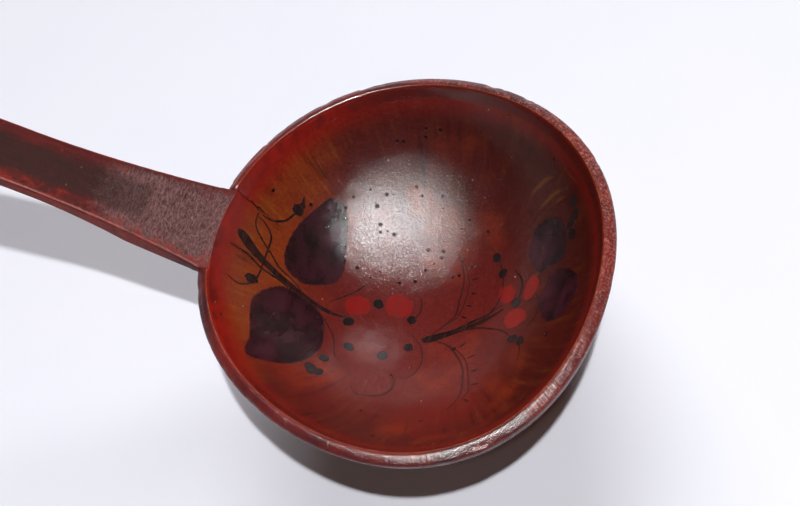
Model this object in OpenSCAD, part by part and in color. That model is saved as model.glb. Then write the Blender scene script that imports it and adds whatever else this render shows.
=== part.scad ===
// Painted wooden ladle spoon: a round carved bowl with a flat foot and a flat, rising handle.
// The bowl axis is +Z, the rim is level, the handle runs toward -X and the origin is at the
// centre of the foot's flat face. The painted coats are thin solids that lie on the wood.

/* [Bowl] */
// Outside diameter of the bowl across its rim
bowl_d = 132; // [105:1:165]
// Height of the rim above the foot
bowl_h = 50; // [40:1:62]
// Thickness of the wall at the rim
rim_t = 4; // [3:0.25:6]
// Fall of the rim's top from its inner to its outer edge
rim_fall = 2; // [1:0.25:3]
// Thickness of the wood in the middle of the bottom
bottom_t = 9; // [6:0.5:13]
// Diameter of the flat foot
foot_d = 52; // [42:1:60]

/* [Handle] */
// Length of the handle beyond the rim, along its slope
handle_len = 165; // [110:1:220]
// Rise of the handle above level, in degrees
handle_rise = 30; // [12:1:36]
// Drop of the handle's top below the rim where they meet
handle_drop = 1; // [0.5:0.25:3]
// Width of the handle at the rim
root_w = 29; // [24:0.5:36]
// Width of the handle where the flare at the bowl ends
neck_w = 19.5; // [16:0.5:23]
// Length of the flare at the bowl
flare_len = 64; // [40:1:80]
// Width of the handle at its rounded end
end_w = 19; // [15:0.5:22]
// Thickness of the handle beyond the flare
handle_t = 8; // [6:0.25:11]
// Radius of the rounded underside
belly_r = 20; // [17:0.5:40]
// Depth of the half-round root under the handle at the rim
root_depth = 13.5; // [12:0.5:17]

/* [Joint] */
// Depth of the housing that the handle fills in the bowl's wall, below the handle's top
housing_depth = 10; // [6:0.5:14]
// Clearance all round the handle in its housing
housing_fit = 0.1; // [0.05:0.05:0.3]

/* [Paint] */
// Thickness of every painted coat
coat_t = 0.3; // [0.2:0.05:0.4]
// Height of the red band under the rim, measured down the inside
band_h = 4; // [2:0.5:7]
// Bare edge left on each side of the dark panel on the handle
panel_edge = 3; // [1.5:0.5:5]
// Bare length of the handle between the bowl and the dark panel
panel_start = 20; // [10:1:40]
// Bare length between the dark panel and the handle's end
panel_end = 9; // [5:1:20]
// Diameter of a painted berry
berry_d = 3.6; // [2.5:0.1:4.5]
// Width of the fine painted lines at their middle
line_w = 1; // [0.8:0.1:1.6]

/* [Hidden] */
$fn = 96;
bowl_r = bowl_d / 2;
mouth_r = bowl_r - rim_t;
depth = bowl_h - bottom_t;
// Ball that hollows the bowl: it passes through the mouth's edge and the bottom's middle.
inner_r = (mouth_r * mouth_r + depth * depth) / (2 * depth);
inner_z = bottom_t + inner_r;
// Flat left at the rim's inner edge, before the fall begins.
rim_flat = 0.8;
fall_slope = rim_fall / (rim_t - rim_flat);
// Ball that shapes the outside: it passes through the rim's edge and the foot's edge.
outer_z = (bowl_r * bowl_r + bowl_h * bowl_h - foot_d * foot_d / 4) / (2 * bowl_h);
outer_r = sqrt(foot_d * foot_d / 4 + outer_z * outer_z);
// Radius of the rim's outer edge, where the fall meets the outside, at most this.
rim_out_r = sqrt(pow(outer_r, 2) - pow(outer_z - bowl_h + rim_fall, 2));
handle_z = bowl_h - handle_drop;
crease_in = 0.5;
// Lift of the slope's start over the level top, so that the two planes cross at a clean line.
crease_lift = 0.05;
// Where the handle's top stops being level and starts to rise, inside the rim over the full root width.
crease_x = sqrt(pow(outer_r, 2) - pow(outer_z - handle_z, 2) - pow(root_w / 2, 2)) - crease_in;
// Radius of the handle's end, larger than half its width so that the end meets the sides in soft corners.
end_r = 0.7 * end_w;
// Circle that cuts one side of the flare, level with the handle's side where the flare ends.
flare_in = (root_w - neck_w) / 2;
flare_r = (flare_len * flare_len + flare_in * flare_in) / (2 * flare_in);
// Height of the handle's side at the neck, above the curve of the underside.
neck_edge_t = handle_t - belly_r + sqrt(belly_r * belly_r - neck_w * neck_w / 4);
// Circle that cuts the underside of the root, which ends just inside the handle's own underside.
root_merge = 0.3;
root_end = neck_edge_t - root_merge;
root_in = root_depth - root_end;
root_r = (flare_len * flare_len + root_in * root_in) / (2 * root_in);
// Reach of the handle's inner end past the rim's outer edge, so that the wall can trim it.
inward = rim_t + 14;
// The painted layout was drawn for this mouth radius and follows the mouth.
drawn_mouth_r = 62;
art = mouth_r / drawn_mouth_r;
far = 400;
// The ticks' distance from their curl, and their length.
tick_gap = 1;
tick_len = 2.6;
STROKE_STEPS = 10;
FRUIT_STEPS = 28;

function unit(v) = v / norm(v);
function left_of(v) = [-v[1], v[0]];
function bezier(a, b, c, t) = a * pow(1 - t, 2) + b * 2 * t * (1 - t) + c * t * t;
function heading(a, b, c, t) = unit((1 - t) * (b - a) + t * (c - b));
// Half the width of a brush stroke that starts w0 wide, ends w1 wide and is drawn off at both ends.
function half_w(t, w0, w1) = 0.5 * (w0 + (w1 - w0) * t) * sqrt(1 - pow(abs(2 * t - 1), 3));
function side(a, b, c, w0, w1, t, s) =
    bezier(a, b, c, t) + s * half_w(t, w0, w1) * left_of(heading(a, b, c, t));

// A brush stroke from a to c that bends toward b.
module stroke(a, b, c, w0, w1) {
    n = STROKE_STEPS;
    polygon(art * concat(
        [a],
        [for (i = [1 : n - 1]) side(a, b, c, w0, w1, i / n, 1)],
        [c],
        [for (i = [n - 1 : -1 : 1]) side(a, b, c, w0, w1, i / n, -1)]));
}

// A fruit of length l and width w, drawn out to a point at one end by the share tip.
module fruit(at, l, w, turn, tip) {
    n = FRUIT_STEPS;
    polygon(art * [for (i = [0 : n - 1])
        let (q = 360 * i / n, grow = 1 + tip * pow(max(cos(q), 0), 6),
             p = [l / 2 * cos(q) * grow, w / 2 * sin(q)])
        [at[0] + p[0] * cos(turn) - p[1] * sin(turn), at[1] + p[0] * sin(turn) + p[1] * cos(turn)]]);
}

module dot(at, d) {
    translate(art * at) circle(d = d * art);
}

module inner_ball(less) {
    translate([0, 0, inner_z]) sphere(r = inner_r - less);
}

module outer_ball(more) {
    translate([0, 0, outer_z]) sphere(r = outer_r + more);
}

// A coat of paint on the inside wall, with the outline of the 2D children seen from above.
module painted() {
    intersection() {
        linear_extrude(height = bowl_h) children();
        difference() {
            inner_ball(0);
            inner_ball(coat_t);
        }
    }
}

// Moves children from the handle's own frame, in which x runs outward along the slope.
module on_handle() {
    translate([-crease_x, 0, handle_z + crease_lift]) rotate([0, handle_rise, 0]) mirror([1, 0, 0]) children();
}

// The handle seen square to its top: a flare at the bowl, a slight taper and a rounded end.
module handle_outline() {
    difference() {
        polygon([[-inward, -root_w / 2], [flare_len, -root_w / 2], [flare_len, -neck_w / 2],
                 [handle_len, -end_w / 2], [handle_len, end_w / 2], [flare_len, neck_w / 2],
                 [flare_len, root_w / 2], [-inward, root_w / 2]]);
        for (s = [-1, 1]) {
            translate([flare_len, s * (neck_w / 2 + flare_r)]) circle(r = flare_r, $fn = 360);
        }
        difference() {
            translate([handle_len - end_r, -root_w]) square([2 * end_r, 2 * root_w]);
            translate([handle_len - end_r, 0]) circle(r = end_r);
        }
    }
}

// A round bar along the handle whose underside is depth below the handle's top.
module bar(r, depth) {
    translate([-inward, 0, r - depth]) rotate([0, 90, 0]) cylinder(r = r, h = handle_len + 2 * inward);
}

// The half-round root: its underside rises in an arc into the handle's own underside.
module root() {
    difference() {
        bar(root_w / 2 + 1, root_depth);
        translate([flare_len, 0, -root_end - root_r]) rotate([90, 0, 0])
            cylinder(r = root_r, h = far, center = true, $fn = 360);
        translate([flare_len, -far / 2, -far / 2]) cube(far);
    }
}

// The rising part of the handle, cut off level with its top.
module rise() {
    on_handle() difference() {
        union() {
            bar(belly_r, handle_t);
            root();
        }
        translate([-far / 2, -far / 2, 0]) cube(far);
    }
}

// The part of the bowl's own shape that the handle carries, up to its level top.
module butt() {
    intersection() {
        outer_ball(0);
        translate([-far / 2, -far / 2, handle_z - far]) cube([far / 2, far, far]);
    }
}

// The block of the wall that the handle replaces, with its clearance.
module housing() {
    translate([-bowl_r - inward, -root_w / 2 - housing_fit, handle_z - housing_depth - housing_fit])
        cube([2 * inward, root_w + 2 * housing_fit, bowl_h]);
}

// A band of height t that starts over the rim's falling top, from the radius r0 to the radius r1.
module over_rim(r0, r1, t) {
    z0 = bowl_h - (r0 - mouth_r - rim_flat) * fall_slope;
    z1 = bowl_h - (r1 - mouth_r - rim_flat) * fall_slope;
    rotate_extrude() polygon([[r0, z0], [r1, z1], [r1, z1 + t], [r0, z0 + t]]);
}

module bowl() {
    color("#6b2114") difference() {
        intersection() {
            outer_ball(0);
            translate([-far / 2, -far / 2, 0]) cube([far, far, bowl_h]);
        }
        inner_ball(0);
        over_rim(mouth_r + rim_flat, bowl_r + 2, bowl_h);
        housing();
    }
}

module handle() {
    color("#4a1a12") difference() {
        intersection() {
            on_handle() translate([0, 0, -far / 2]) linear_extrude(height = far) handle_outline();
            union() {
                rise();
                butt();
            }
        }
        inner_ball(0);
        intersection() {
            outer_ball(housing_fit);
            translate([-far / 2, -far / 2, handle_z - housing_depth - far]) cube(far);
        }
    }
}

module rim_band() {
    color("#a81c10") intersection() {
        difference() {
            inner_ball(0);
            inner_ball(coat_t);
        }
        translate([0, 0, bowl_h - band_h - handle_drop]) cylinder(r = bowl_r, h = band_h);
    }
}

module rim_edge() {
    color("#8a2a14") difference() {
        over_rim(mouth_r + rim_flat, rim_out_r - coat_t, coat_t);
        housing();
    }
}

module fruit_shapes() {
    fruit([-38, 13], 28, 20, 98, 0.05);
    fruit([-39, -21], 29, 21, 102, 0.05);
    fruit([37, 22], 16, 14, 80, 0.15);
    fruit([44, 4], 18, 13, 74, 0.10);
}

module fruits() {
    color("#2a0d16") painted() fruit_shapes();
}

// Centres of the berries: the left spray, the middle flower and the right spray.
BERRIES = [[-46, 20], [-52, -10], [-24, -10], [-22, -19], [-17, -1], [-10, -19], [-26, -27], [-27, -33],
           [-3, -14], [-6, -4], [19, 20], [22, 15], [29, 5], [31, -7], [34, -11], [46, 30], [45, 25]];

module berry_shapes() {
    for (p = BERRIES) dot(p, berry_d);
}

module berries() {
    color("#1a0a0c") painted() difference() {
        berry_shapes();
        fruit_shapes();
    }
}

module petal_shapes() {
    fruit([-23, -3], 8, 6, 18, 0);
    fruit([-11, 1], 9, 6, 16, 0);
    fruit([25, 8], 6, 6, 0, 0);
    fruit([33, 10], 8, 5, 80, 0);
    fruit([30, 0], 7, 6, 20, 0);
}

module petals() {
    color("#b5261a") painted() difference() {
        petal_shapes();
        berry_shapes();
        fruit_shapes();
    }
}

module stem_shapes() {
    stroke([-58, 4], [-52, -2], [-43, -5], 3.4, 2.8);
    stroke([-46, -4], [-36, -9], [-26, -9], 3, 1.6);
    stroke([-58, -2], [-46, -5], [-35, -8], line_w, 1.5 * line_w);
    stroke([-55, 11], [-54, 4], [-44, -4], line_w, 1.5 * line_w);
    stroke([-54, 11], [-48, 4], [-51, -8], line_w, line_w);
    stroke([-51, -7], [-50, -14], [-56, -12], line_w, line_w);
    stroke([-54, 12], [-50, 11], [-46, 19], line_w, line_w);
    stroke([-34, -9], [-27, -14], [-25, -23], line_w, line_w);
    stroke([2, -10], [12, -6], [25, 3], 3.6, 1.6);
    stroke([17, -2], [24, 3], [22, 14], 1.8, line_w);
    stroke([9, -6], [20, -2], [30, -7], 1.8, line_w);
    stroke([26, 16], [31, 12], [29, 6], line_w, line_w);
}

module stems() {
    color("#34120f") painted() difference() {
        stem_shapes();
        fruit_shapes();
        berry_shapes();
        petal_shapes();
    }
}

module curl_shapes() {
    stroke([4, 22], [13, 9], [6, -5], line_w, 1.5 * line_w);
    stroke([6, 22], [17, 8], [8, -5], line_w, line_w);
    stroke([4, -12], [21, -15], [18, -37], 1.5 * line_w, line_w);
    stroke([8, -11], [24, -18], [21, -33], line_w, line_w);
    stroke([-15, -34], [0, -39], [-4, -25], line_w, 1.5 * line_w);
    stroke([-2, -26], [7, -20], [0, -12], line_w, line_w);
    stroke([-7, 6], [0, 1], [-5, -4], line_w, 1.5 * line_w);
}

module curls() {
    color("#4b1710") painted() difference() {
        curl_shapes();
        stem_shapes();
        berry_shapes();
        fruit_shapes();
        petal_shapes();
    }
}

// Short ticks that stand outside each large curl, at places t along it.
module ticks_along(a, b, c) {
    for (t = [0.2 : 0.15 : 0.81]) {
        p = bezier(a, b, c, t);
        out = left_of(heading(a, b, c, t));
        stroke(p + tick_gap * out, p + (tick_gap + tick_len / 2) * out,
               p + (tick_gap + tick_len) * out, line_w, line_w);
    }
}

module tick_shapes() {
    ticks_along([6, 22], [17, 8], [8, -5]);
    ticks_along([8, -11], [24, -18], [21, -33]);
}

module curl_ticks() {
    color("#3a120e") painted() difference() {
        tick_shapes();
        curl_shapes();
        stem_shapes();
        berry_shapes();
        fruit_shapes();
        petal_shapes();
    }
}

module gold_shapes() {
    stroke([27, 34], [31, 38], [36, 39], 1.2, 2.4);
    stroke([30, 32], [35, 36], [40, 36], 1.2, 2.4);
    stroke([-57, 14], [-55, 16], [-52, 16], 1.2, 2.4);
    stroke([-30, -3], [-27, 0], [-27, 4], 1.4, line_w);
    stroke([-20, -31], [-18, -28], [-14, -28], line_w, 1.6);
}

module gold_strokes() {
    color("#a8742c") painted() difference() {
        gold_shapes();
        berry_shapes();
        fruit_shapes();
        petal_shapes();
        stem_shapes();
        curl_shapes();
        tick_shapes();
    }
}

module handle_panel() {
    x0 = panel_start;
    x1 = handle_len - panel_end;
    color("#2b0f0d") on_handle() linear_extrude(height = coat_t) {
        polygon([[x0, -neck_w / 2 + panel_edge], [x0, neck_w / 2 - panel_edge],
                 [x1, end_w / 2 - panel_edge], [x1, -end_w / 2 + panel_edge]]);
    }
}

bowl();
handle();
rim_band();
rim_edge();
fruits();
berries();
petals();
stems();
curls();
curl_ticks();
gold_strokes();
handle_panel();
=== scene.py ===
"""A large painted ladle spoon in red-brown linseed lacquer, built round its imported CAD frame."""

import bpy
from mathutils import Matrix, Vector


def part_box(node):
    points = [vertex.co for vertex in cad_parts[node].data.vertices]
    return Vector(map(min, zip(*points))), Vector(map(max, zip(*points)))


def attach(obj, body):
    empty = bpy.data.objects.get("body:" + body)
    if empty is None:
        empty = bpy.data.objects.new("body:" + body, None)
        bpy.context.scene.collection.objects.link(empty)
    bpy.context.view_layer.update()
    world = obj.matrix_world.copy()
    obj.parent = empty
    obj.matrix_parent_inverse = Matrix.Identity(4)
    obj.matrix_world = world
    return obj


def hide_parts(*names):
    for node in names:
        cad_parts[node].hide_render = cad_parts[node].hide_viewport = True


bl_info = {
    "name": "Painted Ladle Spoon",
    "version": (1, 0, 0),
    "blender": (4, 5, 0),
    "location": "View3D > Sidebar > Ladle",
    "description": "Carved, lacquered and painted surfaces for the wooden ladle spoon",
    "category": "Add Mesh",
}

import math

import bpy
from bpy.props import FloatProperty, FloatVectorProperty, IntProperty, PointerProperty
from mathutils import Matrix, Vector, noise

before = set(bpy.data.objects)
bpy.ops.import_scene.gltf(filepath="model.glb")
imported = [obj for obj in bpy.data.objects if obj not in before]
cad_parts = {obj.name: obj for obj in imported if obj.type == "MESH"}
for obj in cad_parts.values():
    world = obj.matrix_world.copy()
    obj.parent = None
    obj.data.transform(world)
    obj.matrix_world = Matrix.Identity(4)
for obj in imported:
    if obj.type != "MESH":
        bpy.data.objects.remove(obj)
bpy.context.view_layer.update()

MM = 0.001
VARNISH_IOR = 1.48
RIM_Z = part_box("bowl")[1].z
SEED = 7


def linear(code):
    """The linear RGBA of an sRGB hex colour."""
    parts = [int(code[i:i + 2], 16) / 255 for i in (1, 3, 5)]
    return tuple([c / 12.92 if c <= 0.04045 else ((c + 0.055) / 1.055) ** 2.4 for c in parts] + [1.0])


def colour(name, code, about):
    """A colour setting whose default is an sRGB hex value."""
    return FloatVectorProperty(name=name, description=about, default=linear(code), size=4,
                               min=0, max=1, subtype="COLOR")


def length(name, default_mm, about):
    """A length setting, given in millimetres and kept in metres."""
    return FloatProperty(name=name, description=about, default=default_mm * MM, unit="LENGTH",
                         precision=5)


# ---------------------------------------------------------------- settings

class BowlSettings(bpy.types.PropertyGroup):
    inner_ball: length("Inner Ball Radius", 67.4, "Radius of the ball that hollows the bowl")
    inner_height: length("Inner Ball Height", 76.4, "Height of that ball's centre over the foot")
    outer_ball: length("Outer Ball Radius", 67.05, "Radius of the ball that shapes the outside")
    outer_height: length("Outer Ball Height", 61.8, "Height of that ball's centre over the foot")
    foot: length("Foot Radius", 26, "Radius of the flat foot")
    narrowing: FloatProperty(name="Narrowing", default=65 / 66, min=0.9, max=1,
                             description="Share of its turned width that the worn mouth keeps")
    turns: IntProperty(name="Columns", default=360, min=24, max=720,
                       description="Columns of faces round the bowl")
    chip_depth: length("Chip Depth", 0.32, "How deep wear and knocks bite into the rim")
    oval_cos: FloatProperty(name="Oval Lengthwise", default=-0.001, description="Ovality along the handle")
    oval_sin: FloatProperty(name="Oval Crosswise", default=-0.013, description="Ovality on the diagonal")
    three_cos: FloatProperty(name="Three-lobed", default=-0.019,
                             description="Three-lobed share of the out-of-round mouth")
    four_cos: FloatProperty(name="Four-lobed Straight", default=-0.005,
                            description="Four-lobed share, in line with the handle")
    four_sin: FloatProperty(name="Four-lobed Turned", default=0.007,
                            description="Four-lobed share, turned off the handle's line")


class HandleSettings(bpy.types.PropertyGroup):
    start: length("Start", 63.7, "Distance from the bowl's axis at which the handle starts to rise")
    top: length("Top At Start", 49.05, "Height of the handle's top where it starts to rise")
    rise: FloatProperty(name="Rise", default=math.radians(30), subtype="ANGLE", unit="ROTATION",
                        description="Slope of the handle")
    reach: length("Length", 165, "Length along the slope")
    root: length("Root Width", 29, "Width at the bowl")
    neck: length("Neck Width", 19.5, "Width where the flare ends")
    flare: length("Flare Length", 64, "Length of the flare")
    end: length("End Width", 19, "Width near the rounded end")
    thick: length("Thickness", 8, "Thickness beyond the flare")
    belly: length("Belly Radius", 20, "Radius of the rounded underside")
    root_depth: length("Root Depth", 13.5, "Depth of the half-round root at the bowl")
    worn_edge: length("Worn Edge", 1.0, "Radius worn on the long edges")


class PaintSettings(bpy.types.PropertyGroup):
    lift: length("Coat Lift", 0.07, "How far a painted coat stands over the lacquered wall")
    bed: length("Coat Bed", 0.06, "How far a coat's underside lies in the wall")
    berry: length("Berry Diameter", 3.5, "Diameter of a dabbed berry")
    tick: length("Tick Length", 2.6, "Length of a tick beside a curl")


class ColourSettings(bpy.types.PropertyGroup):
    warm: colour("Warm Lacquer", "#52140f", "Lacquer over the bottom of the bowl")
    amber: colour("Amber Lacquer", "#702b0d", "Lacquer worn thin and yellow beside the handle")
    dark: colour("Dark Lacquer", "#360d08", "Lacquer on the wall opposite the handle")
    maroon: colour("Maroon Lacquer", "#44120e", "Darkened lacquer on the upper wall")
    crimson: colour("Crimson Band", "#86150c", "Band under the rim")
    outside: colour("Outside Lacquer", "#551911", "Lacquer on the outside of the bowl")
    bare: colour("Bare Linden", "#8a5530", "Aged wood where the lacquer is gone")
    handle: colour("Handle Lacquer", "#551613", "Dark red lacquer on the handle's borders")
    handle_side: colour("Handle Side", "#8a2211", "Bright red on the handle's sides")
    handle_panel: colour("Handle Panel", "#2a1714", "Brown-black middle of the handle")
    fruit: colour("Fruit", "#0e0508", "Aubergine black of the fruits")
    berry: colour("Berry", "#0f0909", "Black of the berries")
    petal: colour("Petal", "#720d09", "Bright red of the petals")
    stem: colour("Stem", "#150a09", "Brown-black of the stems")
    curl: colour("Curl", "#2c0f0c", "Thin dark red of the curls")
    gold: colour("Gold Powder", "#8e531f", "Tin powder turned golden under the varnish")


class StageSettings(bpy.types.PropertyGroup):
    floor: colour("Floor", "#c6c6cb", "Plain pale floor")
    key: FloatProperty(name="Key Light", default=17.9, min=0,
                       description="Watts of the key light, which casts the shadow")
    glint: FloatProperty(name="Glint Light", default=56.0, min=0,
                         description="Watts of the key light as the varnish mirrors it")
    fill: FloatProperty(name="Fill Light", default=3.9, min=0,
                        description="Watts per square metre of the wide, low fill light")
    window: FloatProperty(name="Window Light", default=0.20, min=0,
                          description="Watts per square metre of the window mirrored in the varnish")
    bounce: FloatProperty(name="Warm Bounce", default=0.24, min=0,
                          description="Watts per square metre of the warm light the room throws back")
    sky: FloatProperty(name="Surround", default=0.02, min=0, description="Brightness of the surround")


# ---------------------------------------------------------------- small helpers

RGBA = {"data_type": "RGBA"}                     # a Mix node that mixes colours
SOFT = {"interpolation_type": "SMOOTHSTEP"}      # a Map Range that eases in and out
ON_POINTS = {"data_type": "FLOAT", "domain": "POINT"}


def add(tree, kind, inputs=None, **settings):
    """Adds a node with its settings, then fills its inputs with values or links."""
    made = tree.nodes.new(kind)
    for name, value in settings.items():
        setattr(made, name, value)
    for key, value in (inputs or {}).items():
        if isinstance(value, bpy.types.Node):
            value = value.outputs[0]
        if isinstance(value, bpy.types.NodeSocket):
            tree.links.new(value, made.inputs[key])
        else:
            made.inputs[key].default_value = value
    return made


def new_tree(name, kind, inputs, outputs):
    """A node group with named sockets, and its input and output nodes."""
    tree = bpy.data.node_groups.new(name, kind)
    for direction, sockets in (("INPUT", inputs), ("OUTPUT", outputs)):
        for label, socket_kind in sockets:
            tree.interface.new_socket(label, in_out=direction, socket_type=socket_kind)
    return tree, tree.nodes.new("NodeGroupInput"), tree.nodes.new("NodeGroupOutput")


def mesh_object(name, points, edges=(), faces=(), attributes=None):
    """A mesh object with float attributes on its points."""
    mesh = bpy.data.meshes.new(name)
    mesh.from_pydata(points, edges, faces)
    for label, values in (attributes or {}).items():
        mesh.attributes.new(label, "FLOAT", "POINT").data.foreach_set("value", values)
    made = bpy.data.objects.new(name, mesh)
    bpy.context.scene.collection.objects.link(made)
    return made


def run_nodes(source, tree, values):
    """Runs a geometry tree on an object and leaves a plain mesh that holds the result."""
    modifier = source.modifiers.new(tree.name, "NODES")
    modifier.node_group = tree
    for item in tree.interface.items_tree:
        if item.item_type == "SOCKET" and item.in_out == "INPUT" and item.name in values:
            modifier[item.identifier] = values[item.name]
    bpy.context.view_layer.update()
    graph = bpy.context.evaluated_depsgraph_get()
    mesh = bpy.data.meshes.new_from_object(source.evaluated_get(graph))
    source.modifiers.clear()
    old = source.data
    source.data = mesh
    bpy.data.meshes.remove(old)
    mesh.name = source.name
    if not mesh.vertices:
        raise RuntimeError(f"{source.name}: the tree {tree.name} made nothing")
    return source


def outward(made):
    """Turns the faces of a closed mesh outward, and shades it smooth but for its hard edges."""
    mesh = made.data
    mesh.calc_loop_triangles()
    corners = [v.co for v in mesh.vertices]
    volume = sum(corners[t.vertices[0]].dot(corners[t.vertices[1]].cross(corners[t.vertices[2]]))
                 for t in mesh.loop_triangles)
    if volume < 0:
        mesh.flip_normals()
    mesh.shade_smooth()
    mesh.set_sharp_from_angle(angle=math.radians(50))


def finish_piece(made, slot, *nodes):
    """Hands a finished piece to the frame."""
    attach(made, "root")
    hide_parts(*nodes)


def smooth(low, high, value):
    """0 below low, 1 above high, and an even curve between."""
    t = min(max((value - low) / (high - low), 0), 1)
    return t * t * (3 - 2 * t)


def settings():
    return bpy.context.scene.ladle_bowl, bpy.context.scene.ladle_handle, \
        bpy.context.scene.ladle_paint, bpy.context.scene.ladle_colours


def out_of_round(angle, bowl):
    """How far the mouth swells or shrinks at an angle round the axis."""
    return (1 + bowl.oval_cos * math.cos(2 * angle) + bowl.oval_sin * math.sin(2 * angle)
            + bowl.three_cos * math.cos(3 * angle)
            + bowl.four_cos * math.cos(4 * angle) + bowl.four_sin * math.sin(4 * angle))


def swell(angle, z, bowl):
    """The bowl's width at an angle and height as a share of its turned width."""
    return 1 + z / RIM_Z * (bowl.narrowing * out_of_round(angle, bowl) - 1)


def inner_radius(angle, z, bowl):
    """Radius of the inside wall in metres."""
    return math.sqrt(bowl.inner_ball ** 2 - (bowl.inner_height - z) ** 2) * swell(angle, z, bowl)


def unswell(x, y, bowl):
    """Moves a plan point in millimetres to where it lies before the bowl is drawn out of round."""
    radius = math.hypot(x, y) * MM
    z = bowl.inner_height - math.sqrt(max(bowl.inner_ball ** 2 - radius ** 2, 1e-9))
    share = swell(math.atan2(y, x), min(z, RIM_Z), bowl)
    return x / share, y / share


def smooth_line(points, per_span=8):
    """A Catmull-Rom line through points given as tuples of numbers."""
    ends = [points[0]] + list(points) + [points[-1]]
    line = []
    for i in range(1, len(ends) - 2):
        a, b, c, d = (Vector(p) for p in ends[i - 1:i + 3])
        for k in range(per_span):
            t = k / per_span
            line.append(0.5 * (2 * b + (c - a) * t + (2 * a - 5 * b + 4 * c - d) * t * t
                               + (3 * b - a - 3 * c + d) * t ** 3))
    line.append(Vector(points[-1]))
    return line


# ---------------------------------------------------------------- geometry trees

OUT_OF_ROUND = ["Oval Lengthwise", "Oval Crosswise", "Three-lobed", "Four-lobed Straight",
                "Four-lobed Turned", "Narrowing", "Rim Height"]


def shape_values(bowl):
    return dict(zip(OUT_OF_ROUND, [bowl.oval_cos, bowl.oval_sin, bowl.three_cos, bowl.four_cos,
                                   bowl.four_sin, bowl.narrowing, RIM_Z]))


def swell_tree():
    """Geometry group: the swell of the bowl at an angle and a height."""
    if "bowl_swell" in bpy.data.node_groups:
        return bpy.data.node_groups["bowl_swell"]
    tree, given, result = new_tree(
        "bowl_swell", "GeometryNodeTree",
        [("Angle", "NodeSocketFloat"), ("Height", "NodeSocketFloat")]
        + [(n, "NodeSocketFloat") for n in OUT_OF_ROUND],
        [("Swell", "NodeSocketFloat")])
    total = None
    for name, times, wave in (("Oval Lengthwise", 2, "COSINE"), ("Oval Crosswise", 2, "SINE"),
                              ("Three-lobed", 3, "COSINE"), ("Four-lobed Straight", 4, "COSINE"),
                              ("Four-lobed Turned", 4, "SINE")):
        turned = add(tree, "ShaderNodeMath", {0: given.outputs["Angle"], 1: times}, operation="MULTIPLY")
        part = add(tree, "ShaderNodeMath", {0: turned}, operation=wave)
        total = add(tree, "ShaderNodeMath", {0: part, 1: given.outputs[name],
                                             2: total if total else 1.0}, operation="MULTIPLY_ADD")
    mouth = add(tree, "ShaderNodeMath", {0: total, 1: given.outputs["Narrowing"], 2: -1.0},
                operation="MULTIPLY_ADD")
    share = add(tree, "ShaderNodeMath", {0: given.outputs["Height"], 1: given.outputs["Rim Height"]},
                operation="DIVIDE")
    made = add(tree, "ShaderNodeMath", {0: share, 1: mouth, 2: 1.0}, operation="MULTIPLY_ADD")
    tree.links.new(made.outputs[0], result.inputs["Swell"])
    return tree


def swell_at(tree, given, angle, height):
    """The swell group inside a tree, shaped by that tree's own inputs."""
    inputs = {"Angle": angle, "Height": height}
    inputs.update({name: given.outputs[name] for name in OUT_OF_ROUND})
    return add(tree, "GeometryNodeGroup", inputs, node_tree=swell_tree())


def close_tree(tree, given, result, geometry):
    """Ends a geometry tree with its instances made real and its material set."""
    real = add(tree, "GeometryNodeRealizeInstances", {"Geometry": geometry})
    done = add(tree, "GeometryNodeSetMaterial", {"Geometry": real, "Material": given.outputs["Material"]})
    tree.links.new(done.outputs[0], result.inputs["Geometry"])
    return tree


def brush_hairs(tree, count):
    """A flat brush 2 units wide; inside is 0 at its outer hairs and 1 at its middle."""
    brush = add(tree, "GeometryNodeCurvePrimitiveLine", {"Start": (-1, 0, 0), "End": (1, 0, 0)})
    hairs = add(tree, "GeometryNodeResampleCurve", {"Curve": brush, "Count": count}, mode="COUNT")
    place = add(tree, "ShaderNodeSeparateXYZ", {0: add(tree, "GeometryNodeInputPosition")})
    off = add(tree, "ShaderNodeMath", {0: place.outputs["X"]}, operation="ABSOLUTE")
    inside = add(tree, "ShaderNodeMath", {0: 1.0, 1: off}, operation="SUBTRACT")
    return add(tree, "GeometryNodeStoreNamedAttribute",
               {"Geometry": hairs, "Name": "inside", "Value": inside}, **ON_POINTS)


def keep_depth(tree, stroke, half_width):
    """Stores how many millimetres each point of a stroke lies in from the stroke's edge."""
    inside = add(tree, "GeometryNodeInputNamedAttribute", {"Name": "inside"}, data_type="FLOAT")
    edge = add(tree, "ShaderNodeMath", {0: inside, 1: half_width}, operation="MULTIPLY")
    edge_mm = add(tree, "ShaderNodeMath", {0: edge, 1: 1 / MM}, operation="MULTIPLY")
    return add(tree, "GeometryNodeStoreNamedAttribute",
               {"Geometry": stroke, "Name": "across", "Value": edge_mm}, **ON_POINTS)


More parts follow.
